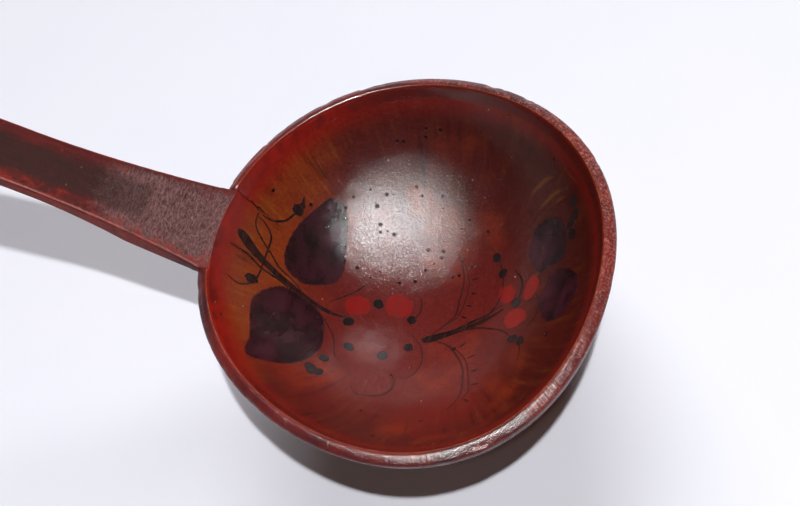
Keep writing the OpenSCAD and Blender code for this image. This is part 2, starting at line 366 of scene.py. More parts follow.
def turned_tree():
    """Turns a profile, drawn as a line of points in the XZ plane, round the axis of the bowl."""
    if "turned_form" in bpy.data.node_groups:
        return bpy.data.node_groups["turned_form"]
    tree, given, result = new_tree(
        "turned_form", "GeometryNodeTree",
        [("Profile", "NodeSocketGeometry"), ("Columns", "NodeSocketInt"), ("Rows", "NodeSocketInt"),
         ("Material", "NodeSocketMaterial")] + [(n, "NodeSocketFloat") for n in OUT_OF_ROUND],
        [("Geometry", "NodeSocketGeometry")])
    profile = given.outputs["Profile"]
    columns = add(tree, "ShaderNodeMath", {0: given.outputs["Columns"], 1: 1.0}, operation="ADD")
    sheet = add(tree, "GeometryNodeMeshGrid", {"Size X": 1.0, "Size Y": 1.0, "Vertices X": columns,
                                               "Vertices Y": given.outputs["Rows"]})
    place = add(tree, "ShaderNodeSeparateXYZ", {0: add(tree, "GeometryNodeInputPosition")})
    last = add(tree, "ShaderNodeMath", {0: given.outputs["Rows"], 1: -1.0}, operation="ADD")
    along = add(tree, "ShaderNodeMath", {0: place.outputs["Y"], 1: 0.5}, operation="ADD")
    row = add(tree, "ShaderNodeMath", {0: add(tree, "ShaderNodeMath", {0: along, 1: last},
                                              operation="MULTIPLY")}, operation="ROUND")
    point = add(tree, "GeometryNodeSampleIndex",
                {"Geometry": profile, "Value": add(tree, "GeometryNodeInputPosition"), "Index": row},
                data_type="FLOAT_VECTOR", domain="POINT")
    named = add(tree, "GeometryNodeInputNamedAttribute", {"Name": "across"}, data_type="FLOAT")
    across = add(tree, "GeometryNodeSampleIndex",
                 {"Geometry": profile, "Value": named, "Index": row}, **ON_POINTS)
    radial = add(tree, "ShaderNodeSeparateXYZ", {0: point})
    angle = add(tree, "ShaderNodeMath", {0: place.outputs["X"], 1: math.tau}, operation="MULTIPLY")
    swollen = swell_at(tree, given, angle, radial.outputs["Z"])
    radius = add(tree, "ShaderNodeMath", {0: radial.outputs["X"], 1: swollen}, operation="MULTIPLY")
    x = add(tree, "ShaderNodeMath", {0: add(tree, "ShaderNodeMath", {0: angle}, operation="COSINE"),
                                     1: radius}, operation="MULTIPLY")
    y = add(tree, "ShaderNodeMath", {0: add(tree, "ShaderNodeMath", {0: angle}, operation="SINE"),
                                     1: radius}, operation="MULTIPLY")
    where = add(tree, "ShaderNodeCombineXYZ", {0: x, 1: y, 2: radial.outputs["Z"]})
    kept = add(tree, "GeometryNodeStoreNamedAttribute",
               {"Geometry": sheet, "Name": "across", "Value": across}, **ON_POINTS)
    moved = add(tree, "GeometryNodeSetPosition", {"Geometry": kept, "Position": where})
    merged = add(tree, "GeometryNodeMergeByDistance", {"Geometry": moved, "Distance": 1e-6})
    return close_tree(tree, given, result, merged)


def coat_tree():
    """Lays flat artwork on the inside wall and gives it the thickness of a coat of paint."""
    if "coat_on_wall" in bpy.data.node_groups:
        return bpy.data.node_groups["coat_on_wall"]
    tree, given, result = new_tree(
        "coat_on_wall", "GeometryNodeTree",
        [("Artwork", "NodeSocketGeometry"), ("Ball Radius", "NodeSocketFloat"),
         ("Ball Height", "NodeSocketFloat"), ("Lift", "NodeSocketFloat"), ("Bed", "NodeSocketFloat"),
         ("Material", "NodeSocketMaterial")] + [(n, "NodeSocketFloat") for n in OUT_OF_ROUND],
        [("Geometry", "NodeSocketGeometry")])
    flat = add(tree, "ShaderNodeSeparateXYZ", {0: add(tree, "GeometryNodeInputPosition")})
    plan = add(tree, "ShaderNodeCombineXYZ", {0: flat.outputs["X"], 1: flat.outputs["Y"]})
    reach = add(tree, "ShaderNodeVectorMath", {0: plan, 1: plan}, operation="DOT_PRODUCT")
    ball = add(tree, "ShaderNodeMath", {0: given.outputs["Ball Radius"], 1: 2.0}, operation="POWER")
    under = add(tree, "ShaderNodeMath", {0: ball, 1: reach.outputs["Value"]}, operation="SUBTRACT")
    drop = add(tree, "ShaderNodeMath", {0: under}, operation="SQRT")
    z = add(tree, "ShaderNodeMath", {0: given.outputs["Ball Height"], 1: drop}, operation="SUBTRACT")
    angle = add(tree, "ShaderNodeMath", {0: flat.outputs["Y"], 1: flat.outputs["X"]}, operation="ARCTAN2")
    swollen = add(tree, "ShaderNodeVectorMath", {0: plan, "Scale": swell_at(tree, given, angle, z)},
                  operation="SCALE")
    lifted = add(tree, "ShaderNodeCombineXYZ", {2: z})
    wall = add(tree, "ShaderNodeVectorMath", {0: swollen, 1: lifted}, operation="ADD")
    centre = add(tree, "ShaderNodeCombineXYZ", {2: given.outputs["Ball Height"]})
    towards = add(tree, "ShaderNodeVectorMath", {0: centre, 1: wall}, operation="SUBTRACT")
    normal = add(tree, "ShaderNodeVectorMath", {0: towards}, operation="NORMALIZE")
    kept = add(tree, "GeometryNodeStoreNamedAttribute",
               {"Geometry": given.outputs["Artwork"], "Name": "wall_normal", "Value": normal},
               data_type="FLOAT_VECTOR", domain="POINT")
    sunk = add(tree, "ShaderNodeVectorMath",
               {0: normal, "Scale": add(tree, "ShaderNodeMath", {0: given.outputs["Bed"], 1: -1.0},
                                        operation="MULTIPLY")}, operation="SCALE")
    base_place = add(tree, "ShaderNodeVectorMath", {0: wall, 1: sunk}, operation="ADD")
    base = add(tree, "GeometryNodeSetPosition", {"Geometry": kept, "Position": base_place})
    named = add(tree, "GeometryNodeInputNamedAttribute", {"Name": "wall_normal"},
                data_type="FLOAT_VECTOR")
    thick = add(tree, "ShaderNodeMath", {0: given.outputs["Lift"], 1: given.outputs["Bed"]},
                operation="ADD")
    raised = add(tree, "GeometryNodeExtrudeMesh",
                 {"Mesh": base, "Offset": named, "Offset Scale": thick, "Individual": False}, mode="FACES")
    bottom = add(tree, "GeometryNodeFlipFaces", {"Mesh": base})
    joined = add(tree, "GeometryNodeJoinGeometry", {"Geometry": raised})
    tree.links.new(bottom.outputs[0], joined.inputs[0])
    merged = add(tree, "GeometryNodeMergeByDistance", {"Geometry": joined, "Distance": 2e-6})
    cleaned = add(tree, "GeometryNodeRemoveAttribute", {"Geometry": merged, "Name": "wall_normal"})
    return close_tree(tree, given, result, cleaned)


def brush_tree():
    """Draws a flat brush stroke along each line of points; the points carry half the stroke's width."""
    if "brush_strokes" in bpy.data.node_groups:
        return bpy.data.node_groups["brush_strokes"]
    tree, given, result = new_tree(
        "brush_strokes", "GeometryNodeTree",
        [("Lines", "NodeSocketGeometry"), ("Material", "NodeSocketMaterial")],
        [("Geometry", "NodeSocketGeometry")])
    named = add(tree, "GeometryNodeInputNamedAttribute", {"Name": "half_width"}, data_type="FLOAT")
    curve = add(tree, "GeometryNodeMeshToCurve", {"Mesh": given.outputs["Lines"]})
    upright = add(tree, "GeometryNodeSetCurveNormal", {"Curve": curve}, mode="Z_UP")
    sized = add(tree, "GeometryNodeSetCurveRadius", {"Curve": upright, "Radius": named})
    swept = add(tree, "GeometryNodeCurveToMesh",
                {"Curve": sized, "Profile Curve": brush_hairs(tree, 7), "Scale": named})
    return close_tree(tree, given, result, keep_depth(tree, swept, named))


def dab_tree():
    """Sets one round dab of the brush on every point, each turned and pressed a little differently."""
    if "round_dabs" in bpy.data.node_groups:
        return bpy.data.node_groups["round_dabs"]
    tree, given, result = new_tree(
        "round_dabs", "GeometryNodeTree",
        [("Points", "NodeSocketGeometry"), ("Diameter", "NodeSocketFloat"), ("Seed", "NodeSocketInt"),
         ("Material", "NodeSocketMaterial")], [("Geometry", "NodeSocketGeometry")])
    radius = add(tree, "ShaderNodeMath", {0: given.outputs["Diameter"], 1: 0.5}, operation="MULTIPLY")
    disc = add(tree, "GeometryNodeMeshCircle", {"Vertices": 28, "Radius": radius},
               fill_type="TRIANGLE_FAN")
    finer = add(tree, "GeometryNodeSubdivideMesh", {"Mesh": disc, "Level": 1})
    reach = add(tree, "ShaderNodeVectorMath", {0: add(tree, "GeometryNodeInputPosition")},
                operation="LENGTH")
    edge = add(tree, "ShaderNodeMath", {0: radius, 1: reach.outputs["Value"]}, operation="SUBTRACT")
    edge_mm = add(tree, "ShaderNodeMath", {0: edge, 1: 1 / MM}, operation="MULTIPLY")
    marked = add(tree, "GeometryNodeStoreNamedAttribute",
                 {"Geometry": finer, "Name": "across", "Value": edge_mm}, **ON_POINTS)
    turn = add(tree, "FunctionNodeRandomValue", {"Min": (0, 0, 0), "Max": (0, 0, math.tau),
                                                 "Seed": given.outputs["Seed"]}, data_type="FLOAT_VECTOR")
    press = add(tree, "FunctionNodeRandomValue", {"Min": (0.9, 0.82, 1), "Max": (1.12, 1.0, 1),
                                                  "Seed": given.outputs["Seed"]}, data_type="FLOAT_VECTOR")
    spread = add(tree, "GeometryNodeInstanceOnPoints",
                 {"Points": given.outputs["Points"], "Instance": marked, "Rotation": turn,
                  "Scale": press})
    real = add(tree, "GeometryNodeRealizeInstances", {"Geometry": spread})
    wobble = add(tree, "ShaderNodeTexNoise", {"Scale": 900.0, "Detail": 1.0}, noise_dimensions="3D")
    centred = add(tree, "ShaderNodeVectorMath", {0: wobble.outputs["Color"], 1: (0.5, 0.5, 0.5)},
                  operation="SUBTRACT")
    level = add(tree, "ShaderNodeVectorMath", {0: centred, 1: (0.0007, 0.0007, 0)}, operation="MULTIPLY")
    ragged = add(tree, "GeometryNodeSetPosition", {"Geometry": real, "Offset": level})
    return close_tree(tree, given, result, ragged)


def tick_tree():
    """Stands short ticks at even steps along a curl, on its outer side."""
    if "curl_tick_row" in bpy.data.node_groups:
        return bpy.data.node_groups["curl_tick_row"]
    tree, given, result = new_tree(
        "curl_tick_row", "GeometryNodeTree",
        [("Curl", "NodeSocketGeometry"), ("Count", "NodeSocketInt"), ("Gap", "NodeSocketFloat"),
         ("Length", "NodeSocketFloat"), ("Width", "NodeSocketFloat"), ("Material", "NodeSocketMaterial")],
        [("Geometry", "NodeSocketGeometry")])
    curve = add(tree, "GeometryNodeMeshToCurve", {"Mesh": given.outputs["Curl"]})
    upright = add(tree, "GeometryNodeSetCurveNormal", {"Curve": curve}, mode="Z_UP")
    points = add(tree, "GeometryNodeCurveToPoints", {"Curve": upright, "Count": given.outputs["Count"]},
                 mode="COUNT")
    end = add(tree, "ShaderNodeMath", {0: given.outputs["Gap"], 1: given.outputs["Length"]},
              operation="ADD")
    line = add(tree, "GeometryNodeCurvePrimitiveLine",
               {"Start": add(tree, "ShaderNodeCombineXYZ", {1: given.outputs["Gap"]}),
                "End": add(tree, "ShaderNodeCombineXYZ", {1: end})})
    shaft = add(tree, "GeometryNodeResampleCurve", {"Curve": line, "Count": 9}, mode="COUNT")
    share = add(tree, "GeometryNodeSplineParameter")
    arc = add(tree, "ShaderNodeMath", {0: share.outputs["Factor"], 1: math.pi}, operation="MULTIPLY")
    bulge = add(tree, "ShaderNodeMath", {0: arc}, operation="SINE")
    fat = add(tree, "ShaderNodeMath", {0: bulge, 1: 0.8, 2: 0.2}, operation="MULTIPLY_ADD")
    half = add(tree, "ShaderNodeMath", {0: given.outputs["Width"], 1: 0.5}, operation="MULTIPLY")
    width = add(tree, "ShaderNodeMath", {0: fat, 1: half}, operation="MULTIPLY")
    upright_shaft = add(tree, "GeometryNodeSetCurveNormal", {"Curve": shaft}, mode="Z_UP")
    kept_width = add(tree, "GeometryNodeStoreNamedAttribute",
                     {"Geometry": upright_shaft, "Name": "half_width", "Value": width}, **ON_POINTS)
    named = add(tree, "GeometryNodeInputNamedAttribute", {"Name": "half_width"}, data_type="FLOAT")
    swept = add(tree, "GeometryNodeCurveToMesh",
                {"Curve": kept_width, "Profile Curve": brush_hairs(tree, 5), "Scale": named})
    kept = keep_depth(tree, swept, half)
    facing = add(tree, "FunctionNodeAlignRotationToVector", {"Vector": points.outputs["Tangent"]},
                 axis="X", pivot_axis="Z")
    spread = add(tree, "GeometryNodeInstanceOnPoints",
                 {"Points": points, "Instance": kept, "Rotation": facing})
    return close_tree(tree, given, result, spread)


# ---------------------------------------------------------------- materials

def object_mm(tree):
    """A piece's own coordinates in millimetres."""
    place = add(tree, "ShaderNodeTexCoord")
    return add(tree, "ShaderNodeVectorMath", {0: place.outputs["Object"], "Scale": 1 / MM},
               operation="SCALE")


def ground_tree():
    """Shader group: the lacquered ground inside the bowl, which every coat of paint shares.

    Boiled linseed varnish over a red ground on linden: streaks where it ran down the wall, fine
    wrinkles and burst bubbles where it lay thick, pale chips and hairline scratches from use.
    Heights are in millimetres.
    """
    if "lacquered_ground" in bpy.data.node_groups:
        return bpy.data.node_groups["lacquered_ground"]
    hue = settings()[3]
    tree, _, result = new_tree(
        "lacquered_ground", "ShaderNodeTree", [],
        [("Colour", "NodeSocketColor"), ("Roughness", "NodeSocketFloat"), ("Height", "NodeSocketFloat"),
         ("Coat", "NodeSocketFloat")])
    mm = object_mm(tree)
    cloud = add(tree, "ShaderNodeTexNoise", {"Vector": mm, "Scale": 0.05, "Detail": 3.0})
    shift = add(tree, "ShaderNodeVectorMath", {0: cloud.outputs["Color"], 1: (0.5, 0.5, 0.5)},
                operation="SUBTRACT")
    wide = add(tree, "ShaderNodeVectorMath", {0: shift, "Scale": 34.0}, operation="SCALE")
    loose = add(tree, "ShaderNodeVectorMath", {0: mm, 1: wide}, operation="ADD")
    apart = add(tree, "ShaderNodeSeparateXYZ", {0: loose})
    exact = add(tree, "ShaderNodeSeparateXYZ", {0: mm})

    # Streaks down the wall, about 2 mm wide, which fade out over the bottom of the bowl.
    flat = add(tree, "ShaderNodeCombineXYZ", {0: exact.outputs["X"], 1: exact.outputs["Y"]})
    direction = add(tree, "ShaderNodeVectorMath", {0: flat}, operation="NORMALIZE")
    fan = add(tree, "ShaderNodeVectorMath", {0: direction, "Scale": 9.0}, operation="SCALE")
    sunk = add(tree, "ShaderNodeMath", {0: exact.outputs["Z"], 1: 0.03}, operation="MULTIPLY")
    down = add(tree, "ShaderNodeCombineXYZ", {2: sunk})
    run = add(tree, "ShaderNodeVectorMath", {0: fan, 1: down}, operation="ADD")
    streak = add(tree, "ShaderNodeTexNoise", {"Vector": run, "Scale": 2.2, "Detail": 4.0,
                                              "Roughness": 0.6})
    on_wall = add(tree, "ShaderNodeMapRange", {0: exact.outputs["Z"], 1: 13.0, 2: 26.0}, **SOFT)

    # The four broad tones of the ground.
    right = add(tree, "ShaderNodeVectorMath", {0: loose, 1: (0.93, 0.20, 0.30)}, operation="DOT_PRODUCT")
    to_dark = add(tree, "ShaderNodeMapRange", {0: right.outputs["Value"], 1: 14.0, 2: 48.0}, **SOFT)
    to_maroon = add(tree, "ShaderNodeMapRange", {0: apart.outputs["Y"], 1: 8.0, 2: 44.0}, **SOFT)
    to_amber = add(tree, "ShaderNodeMapRange", {0: apart.outputs["X"], 1: -30.0, 2: -52.0}, **SOFT)
    low = add(tree, "ShaderNodeMapRange", {0: apart.outputs["Y"], 1: -36.0, 2: -58.0, 4: 0.9}, **SOFT)
    with_maroon = add(tree, "ShaderNodeMix", {0: to_maroon, 6: hue.warm, 7: hue.maroon}, **RGBA)
    with_dark = add(tree, "ShaderNodeMix", {0: to_dark, 6: with_maroon.outputs[2], 7: hue.dark}, **RGBA)
    with_amber = add(tree, "ShaderNodeMix", {0: to_amber, 6: with_dark.outputs[2], 7: hue.amber}, **RGBA)
    with_low = add(tree, "ShaderNodeMix", {0: low, 6: with_amber.outputs[2], 7: linear("#3e130e")}, **RGBA)

    # Brighter orange where the red ground was rubbed thin, and ochre in some of the streaks.
    rubbed = add(tree, "ShaderNodeMapRange", {0: cloud.outputs["Fac"], 1: 0.52, 2: 0.72, 4: 0.4}, **SOFT)
    with_orange = add(tree, "ShaderNodeMix", {0: rubbed, 6: with_low.outputs[2], 7: linear("#74260f")},
                      **RGBA)
    light = add(tree, "ShaderNodeMapRange", {0: streak.outputs["Fac"], 1: 0.52, 2: 0.72, 4: 0.55}, **SOFT)
    yellowed = add(tree, "ShaderNodeMapRange", {0: to_amber, 3: 0.18, 4: 1.0})
    light_where = add(tree, "ShaderNodeMath", {0: on_wall, 1: yellowed}, operation="MULTIPLY")
    light_wall = add(tree, "ShaderNodeMath", {0: light, 1: light_where}, operation="MULTIPLY")
    with_ochre = add(tree, "ShaderNodeMix", {0: light_wall, 6: with_orange.outputs[2],
                                             7: linear("#7c4812")}, **RGBA)
    dim = add(tree, "ShaderNodeMapRange", {0: streak.outputs["Fac"], 1: 0.46, 2: 0.30, 4: 0.5}, **SOFT)
    dim_wall = add(tree, "ShaderNodeMath", {0: dim, 1: on_wall}, operation="MULTIPLY")
    with_smoke = add(tree, "ShaderNodeMix", {0: dim_wall, 6: with_ochre.outputs[2], 7: linear("#1e0a08")},
                     **RGBA)

    # Dark red close under the mouth, strongest beside the handle.
    near_rim = add(tree, "ShaderNodeMapRange", {0: exact.outputs["Z"], 1: 38.0, 2: 46.0}, **SOFT)
    by_handle = add(tree, "ShaderNodeMapRange", {0: exact.outputs["X"], 1: -25.0, 2: -48.0, 3: 0.5,
                                                 4: 0.95}, **SOFT)
    reddened = add(tree, "ShaderNodeMath", {0: near_rim, 1: by_handle}, operation="MULTIPLY")
    with_red = add(tree, "ShaderNodeMix", {0: reddened, 6: with_smoke.outputs[2], 7: linear("#7c140b")},
                   **RGBA)

    # Grime in a 1 mm mottle.
    mottle = add(tree, "ShaderNodeTexNoise", {"Vector": mm, "Scale": 0.9, "Detail": 4.0,
                                              "Roughness": 0.65})
    shade = add(tree, "ShaderNodeMapRange", {0: mottle.outputs["Fac"], 1: 0.3, 2: 0.7, 3: 0.78, 4: 1.16})
    with_grime = add(tree, "ShaderNodeVectorMath", {0: with_red.outputs[2], "Scale": shade},
                     operation="SCALE")

    # Burst bubbles, about 1 mm wide, gathered where the varnish lay thick.
    thick = add(tree, "ShaderNodeVectorMath", {0: mm, 1: (-12.0, 27.0, 17.0)}, operation="DISTANCE")
    gathered = add(tree, "ShaderNodeMapRange", {0: thick.outputs["Value"], 1: 38.0, 2: 10.0}, **SOFT)
    cells = add(tree, "ShaderNodeTexVoronoi", {"Vector": mm, "Scale": 0.42, "Randomness": 1.0})
    lot = add(tree, "ShaderNodeSeparateXYZ", {0: cells.outputs["Color"]})
    odds = add(tree, "ShaderNodeMath", {0: gathered, 1: -0.30, 2: 0.985}, operation="MULTIPLY_ADD")
    chosen = add(tree, "ShaderNodeMath", {0: lot.outputs["X"], 1: odds}, operation="GREATER_THAN")
    core = add(tree, "ShaderNodeMapRange", {0: cells.outputs["Distance"], 1: 0.30, 2: 0.16}, **SOFT)
    pit = add(tree, "ShaderNodeMath", {0: core, 1: chosen}, operation="MULTIPLY")

    # A ragged crack runs about 8 mm down the wall from the corner of the handle's joint.
    jag = add(tree, "ShaderNodeTexNoise", {"Vector": mm, "Scale": 0.5, "Detail": 3.0})
    beside = add(tree, "ShaderNodeVectorMath", {0: mm, 1: (0.18, 1.0, 0.0)}, operation="DOT_PRODUCT")
    strayed = add(tree, "ShaderNodeMath", {0: jag.outputs["Fac"], 1: 3.0, 2: beside.outputs["Value"]},
                  operation="MULTIPLY_ADD")
    off_crack = add(tree, "ShaderNodeMath", {0: strayed, 1: 4.8}, operation="SUBTRACT")
    apart_by = add(tree, "ShaderNodeMath", {0: off_crack}, operation="ABSOLUTE")
    open_by = add(tree, "ShaderNodeMapRange", {0: apart_by, 1: 0.32, 2: 0.10})
    crack_end = add(tree, "ShaderNodeMapRange", {0: exact.outputs["X"], 1: -50.0, 2: -55.0})
    crack = add(tree, "ShaderNodeMath", {0: open_by, 1: crack_end}, operation="MULTIPLY")
    opened = add(tree, "ShaderNodeMath", {0: pit, 1: crack}, operation="MAXIMUM")
    with_pits = add(tree, "ShaderNodeMix", {0: opened, 6: with_grime, 7: linear("#150908")}, **RGBA)

    # Pale chips, under 1 mm, and hairline scratches.
    flakes = add(tree, "ShaderNodeTexVoronoi", {"Vector": mm, "Scale": 0.21, "Randomness": 1.0})
    luck = add(tree, "ShaderNodeSeparateXYZ", {0: flakes.outputs["Color"]})
    few = add(tree, "ShaderNodeMath", {0: luck.outputs["Y"], 1: 0.86}, operation="GREATER_THAN")
    speck = add(tree, "ShaderNodeMapRange", {0: flakes.outputs["Distance"], 1: 0.075, 2: 0.045})
    chip = add(tree, "ShaderNodeMath", {0: speck, 1: few}, operation="MULTIPLY")
    turned = add(tree, "ShaderNodeVectorRotate", {"Vector": mm, "Angle": 0.75}, rotation_type="Z_AXIS")
    combed = add(tree, "ShaderNodeVectorMath", {0: turned, 1: (0.035, 2.6, 0.035)}, operation="MULTIPLY")
    hair = add(tree, "ShaderNodeTexNoise", {"Vector": combed, "Scale": 1.0, "Detail": 2.0})
    hairline = add(tree, "ShaderNodeMapRange", {0: hair.outputs["Fac"], 1: 0.75, 2: 0.78, 4: 0.4})
    scar = add(tree, "ShaderNodeMath", {0: chip, 1: hairline}, operation="MAXIMUM")
    with_chips = add(tree, "ShaderNodeMix", {0: scar, 6: with_pits.outputs[2], 7: linear("#8c664a")},
                     **RGBA)
    tree.links.new(with_chips.outputs[2], result.inputs["Colour"])

    # Wrinkled skin of the varnish, 0.7 mm across, and deeper where it lay thick.
    skin = add(tree, "ShaderNodeTexNoise", {"Vector": mm, "Scale": 1.5, "Detail": 5.0,
                                            "Roughness": 0.66, "Distortion": 0.5})
    deep = add(tree, "ShaderNodeMapRange", {0: gathered, 3: 0.07, 4: 0.20})
    wrinkle = add(tree, "ShaderNodeMath", {0: skin.outputs["Fac"], 1: deep}, operation="MULTIPLY")
    waves = add(tree, "ShaderNodeTexNoise", {"Vector": mm, "Scale": 0.16, "Detail": 1.0})
    wavy = add(tree, "ShaderNodeMath", {0: waves.outputs["Fac"], 1: 0.20, 2: wrinkle},
               operation="MULTIPLY_ADD")
    holes = add(tree, "ShaderNodeMath", {0: opened, 1: -0.45, 2: wavy}, operation="MULTIPLY_ADD")
    cuts = add(tree, "ShaderNodeMath", {0: scar, 1: -0.05, 2: holes}, operation="MULTIPLY_ADD")
    tree.links.new(cuts.outputs[0], result.inputs["Height"])
    gloss = add(tree, "ShaderNodeMapRange", {0: mottle.outputs["Fac"], 1: 0.3, 2: 0.7, 3: 0.36, 4: 0.55})
    tree.links.new(gloss.outputs[0], result.inputs["Roughness"])
    # The wall opposite the handle has lost most of its shine.
    rubbed_dull = add(tree, "ShaderNodeMapRange", {0: right.outputs["Value"], 1: 12.0, 2: 42.0, 3: 1.0,
                                                   4: 0.28}, **SOFT)
    tree.links.new(rubbed_dull.outputs[0], result.inputs["Coat"])
    return tree


def surface(name):
    """A new material's tree, its Principled node and its coordinates in millimetres."""
    made = bpy.data.materials.new(name)
    made.use_nodes = True
    tree = made.node_tree
    shader = tree.nodes["Principled BSDF"]
    return made, tree, shader, object_mm(tree)


def varnished(tree, shader, tone, roughness, height, coat=1.0, coat_roughness=0.12, coat_map=None):
    """Gives a surface its colour, roughness and relief in millimetres under a coat of linseed varnish.

    coat is the coat's weight all over, and coat_map a socket that says where it is worn thinner.
    """
    tree.links.new(tone, shader.inputs["Base Color"])
    tree.links.new(roughness, shader.inputs["Roughness"])
    bump = add(tree, "ShaderNodeBump", {"Height": height, "Distance": MM})
    tree.links.new(bump.outputs[0], shader.inputs["Normal"])
    tree.links.new(bump.outputs[0], shader.inputs["Coat Normal"])
    shader.inputs["IOR"].default_value = VARNISH_IOR
    shader.inputs["Specular IOR Level"].default_value = 0.06
    shader.inputs["Coat Weight"].default_value = coat
    shader.inputs["Coat Roughness"].default_value = coat_roughness
    shader.inputs["Coat IOR"].default_value = VARNISH_IOR
    if coat_map:
        tree.links.new(coat_map, shader.inputs["Coat Weight"])


def paint_material(name, tone, second, soft=0.35, start=0.05, thin=0.0, streaks=1.6, relief=0.02,
                   far=None):
    """Paint brushed on the lacquered ground and varnished over.

    soft is how many millimetres the paint takes to cover from its outline, thin how much of the
    ground shows through everywhere, and streaks the width of the brush marks in millimetres.
    far is the tone it has darkened to away from the handle.
    """
    made, tree, shader, mm = surface(name)
    ground = add(tree, "ShaderNodeGroup", node_tree=ground_tree())
    edge = add(tree, "ShaderNodeAttribute", attribute_name="across")
    grit = add(tree, "ShaderNodeTexNoise", {"Vector": mm, "Scale": 1.3, "Detail": 4.0, "Roughness": 0.7})
    torn = add(tree, "ShaderNodeMath", {0: grit.outputs["Fac"], 1: 2.2 * soft, 2: edge.outputs["Fac"]},
               operation="MULTIPLY_ADD")
    cover = add(tree, "ShaderNodeMapRange",
                {0: torn, 1: start + 1.0 * soft, 2: start + 1.75 * soft, 4: 1.0 - thin}, **SOFT)
    combed = add(tree, "ShaderNodeVectorMath", {0: mm, 1: (1 / streaks, 0.12, 0.12)},
                 operation="MULTIPLY")
    marks = add(tree, "ShaderNodeTexNoise", {"Vector": combed, "Scale": 1.0, "Detail": 4.0})
    blend = add(tree, "ShaderNodeMapRange", {0: marks.outputs["Fac"], 1: 0.38, 2: 0.68})
    tint = add(tree, "ShaderNodeMix", {0: blend, 6: tone, 7: linear(second)}, **RGBA)
    if far:
        spot = add(tree, "ShaderNodeSeparateXYZ", {0: mm})
        away = add(tree, "ShaderNodeMapRange", {0: spot.outputs["X"], 1: -50.0, 2: -18.0, 4: 0.9}, **SOFT)
        tint = add(tree, "ShaderNodeMix", {0: away, 6: tint.outputs[2], 7: linear(far)}, **RGBA)
    worn = add(tree, "ShaderNodeTexNoise", {"Vector": mm, "Scale": 0.55, "Detail": 6.0, "Roughness": 0.75})
    rubbed = add(tree, "ShaderNodeMapRange", {0: worn.outputs["Fac"], 1: 0.74, 2: 0.80, 3: 1.0, 4: 0.25})
    full = add(tree, "ShaderNodeMath", {0: cover, 1: rubbed}, operation="MULTIPLY")
    look = add(tree, "ShaderNodeMix", {0: full, 6: ground.outputs["Colour"], 7: tint.outputs[2]}, **RGBA)
    height = add(tree, "ShaderNodeMath", {0: full, 1: relief, 2: ground.outputs["Height"]},
                 operation="MULTIPLY_ADD")
    varnished(tree, shader, look.outputs[2], ground.outputs["Roughness"], height,
              coat_map=ground.outputs["Coat"])
    return made


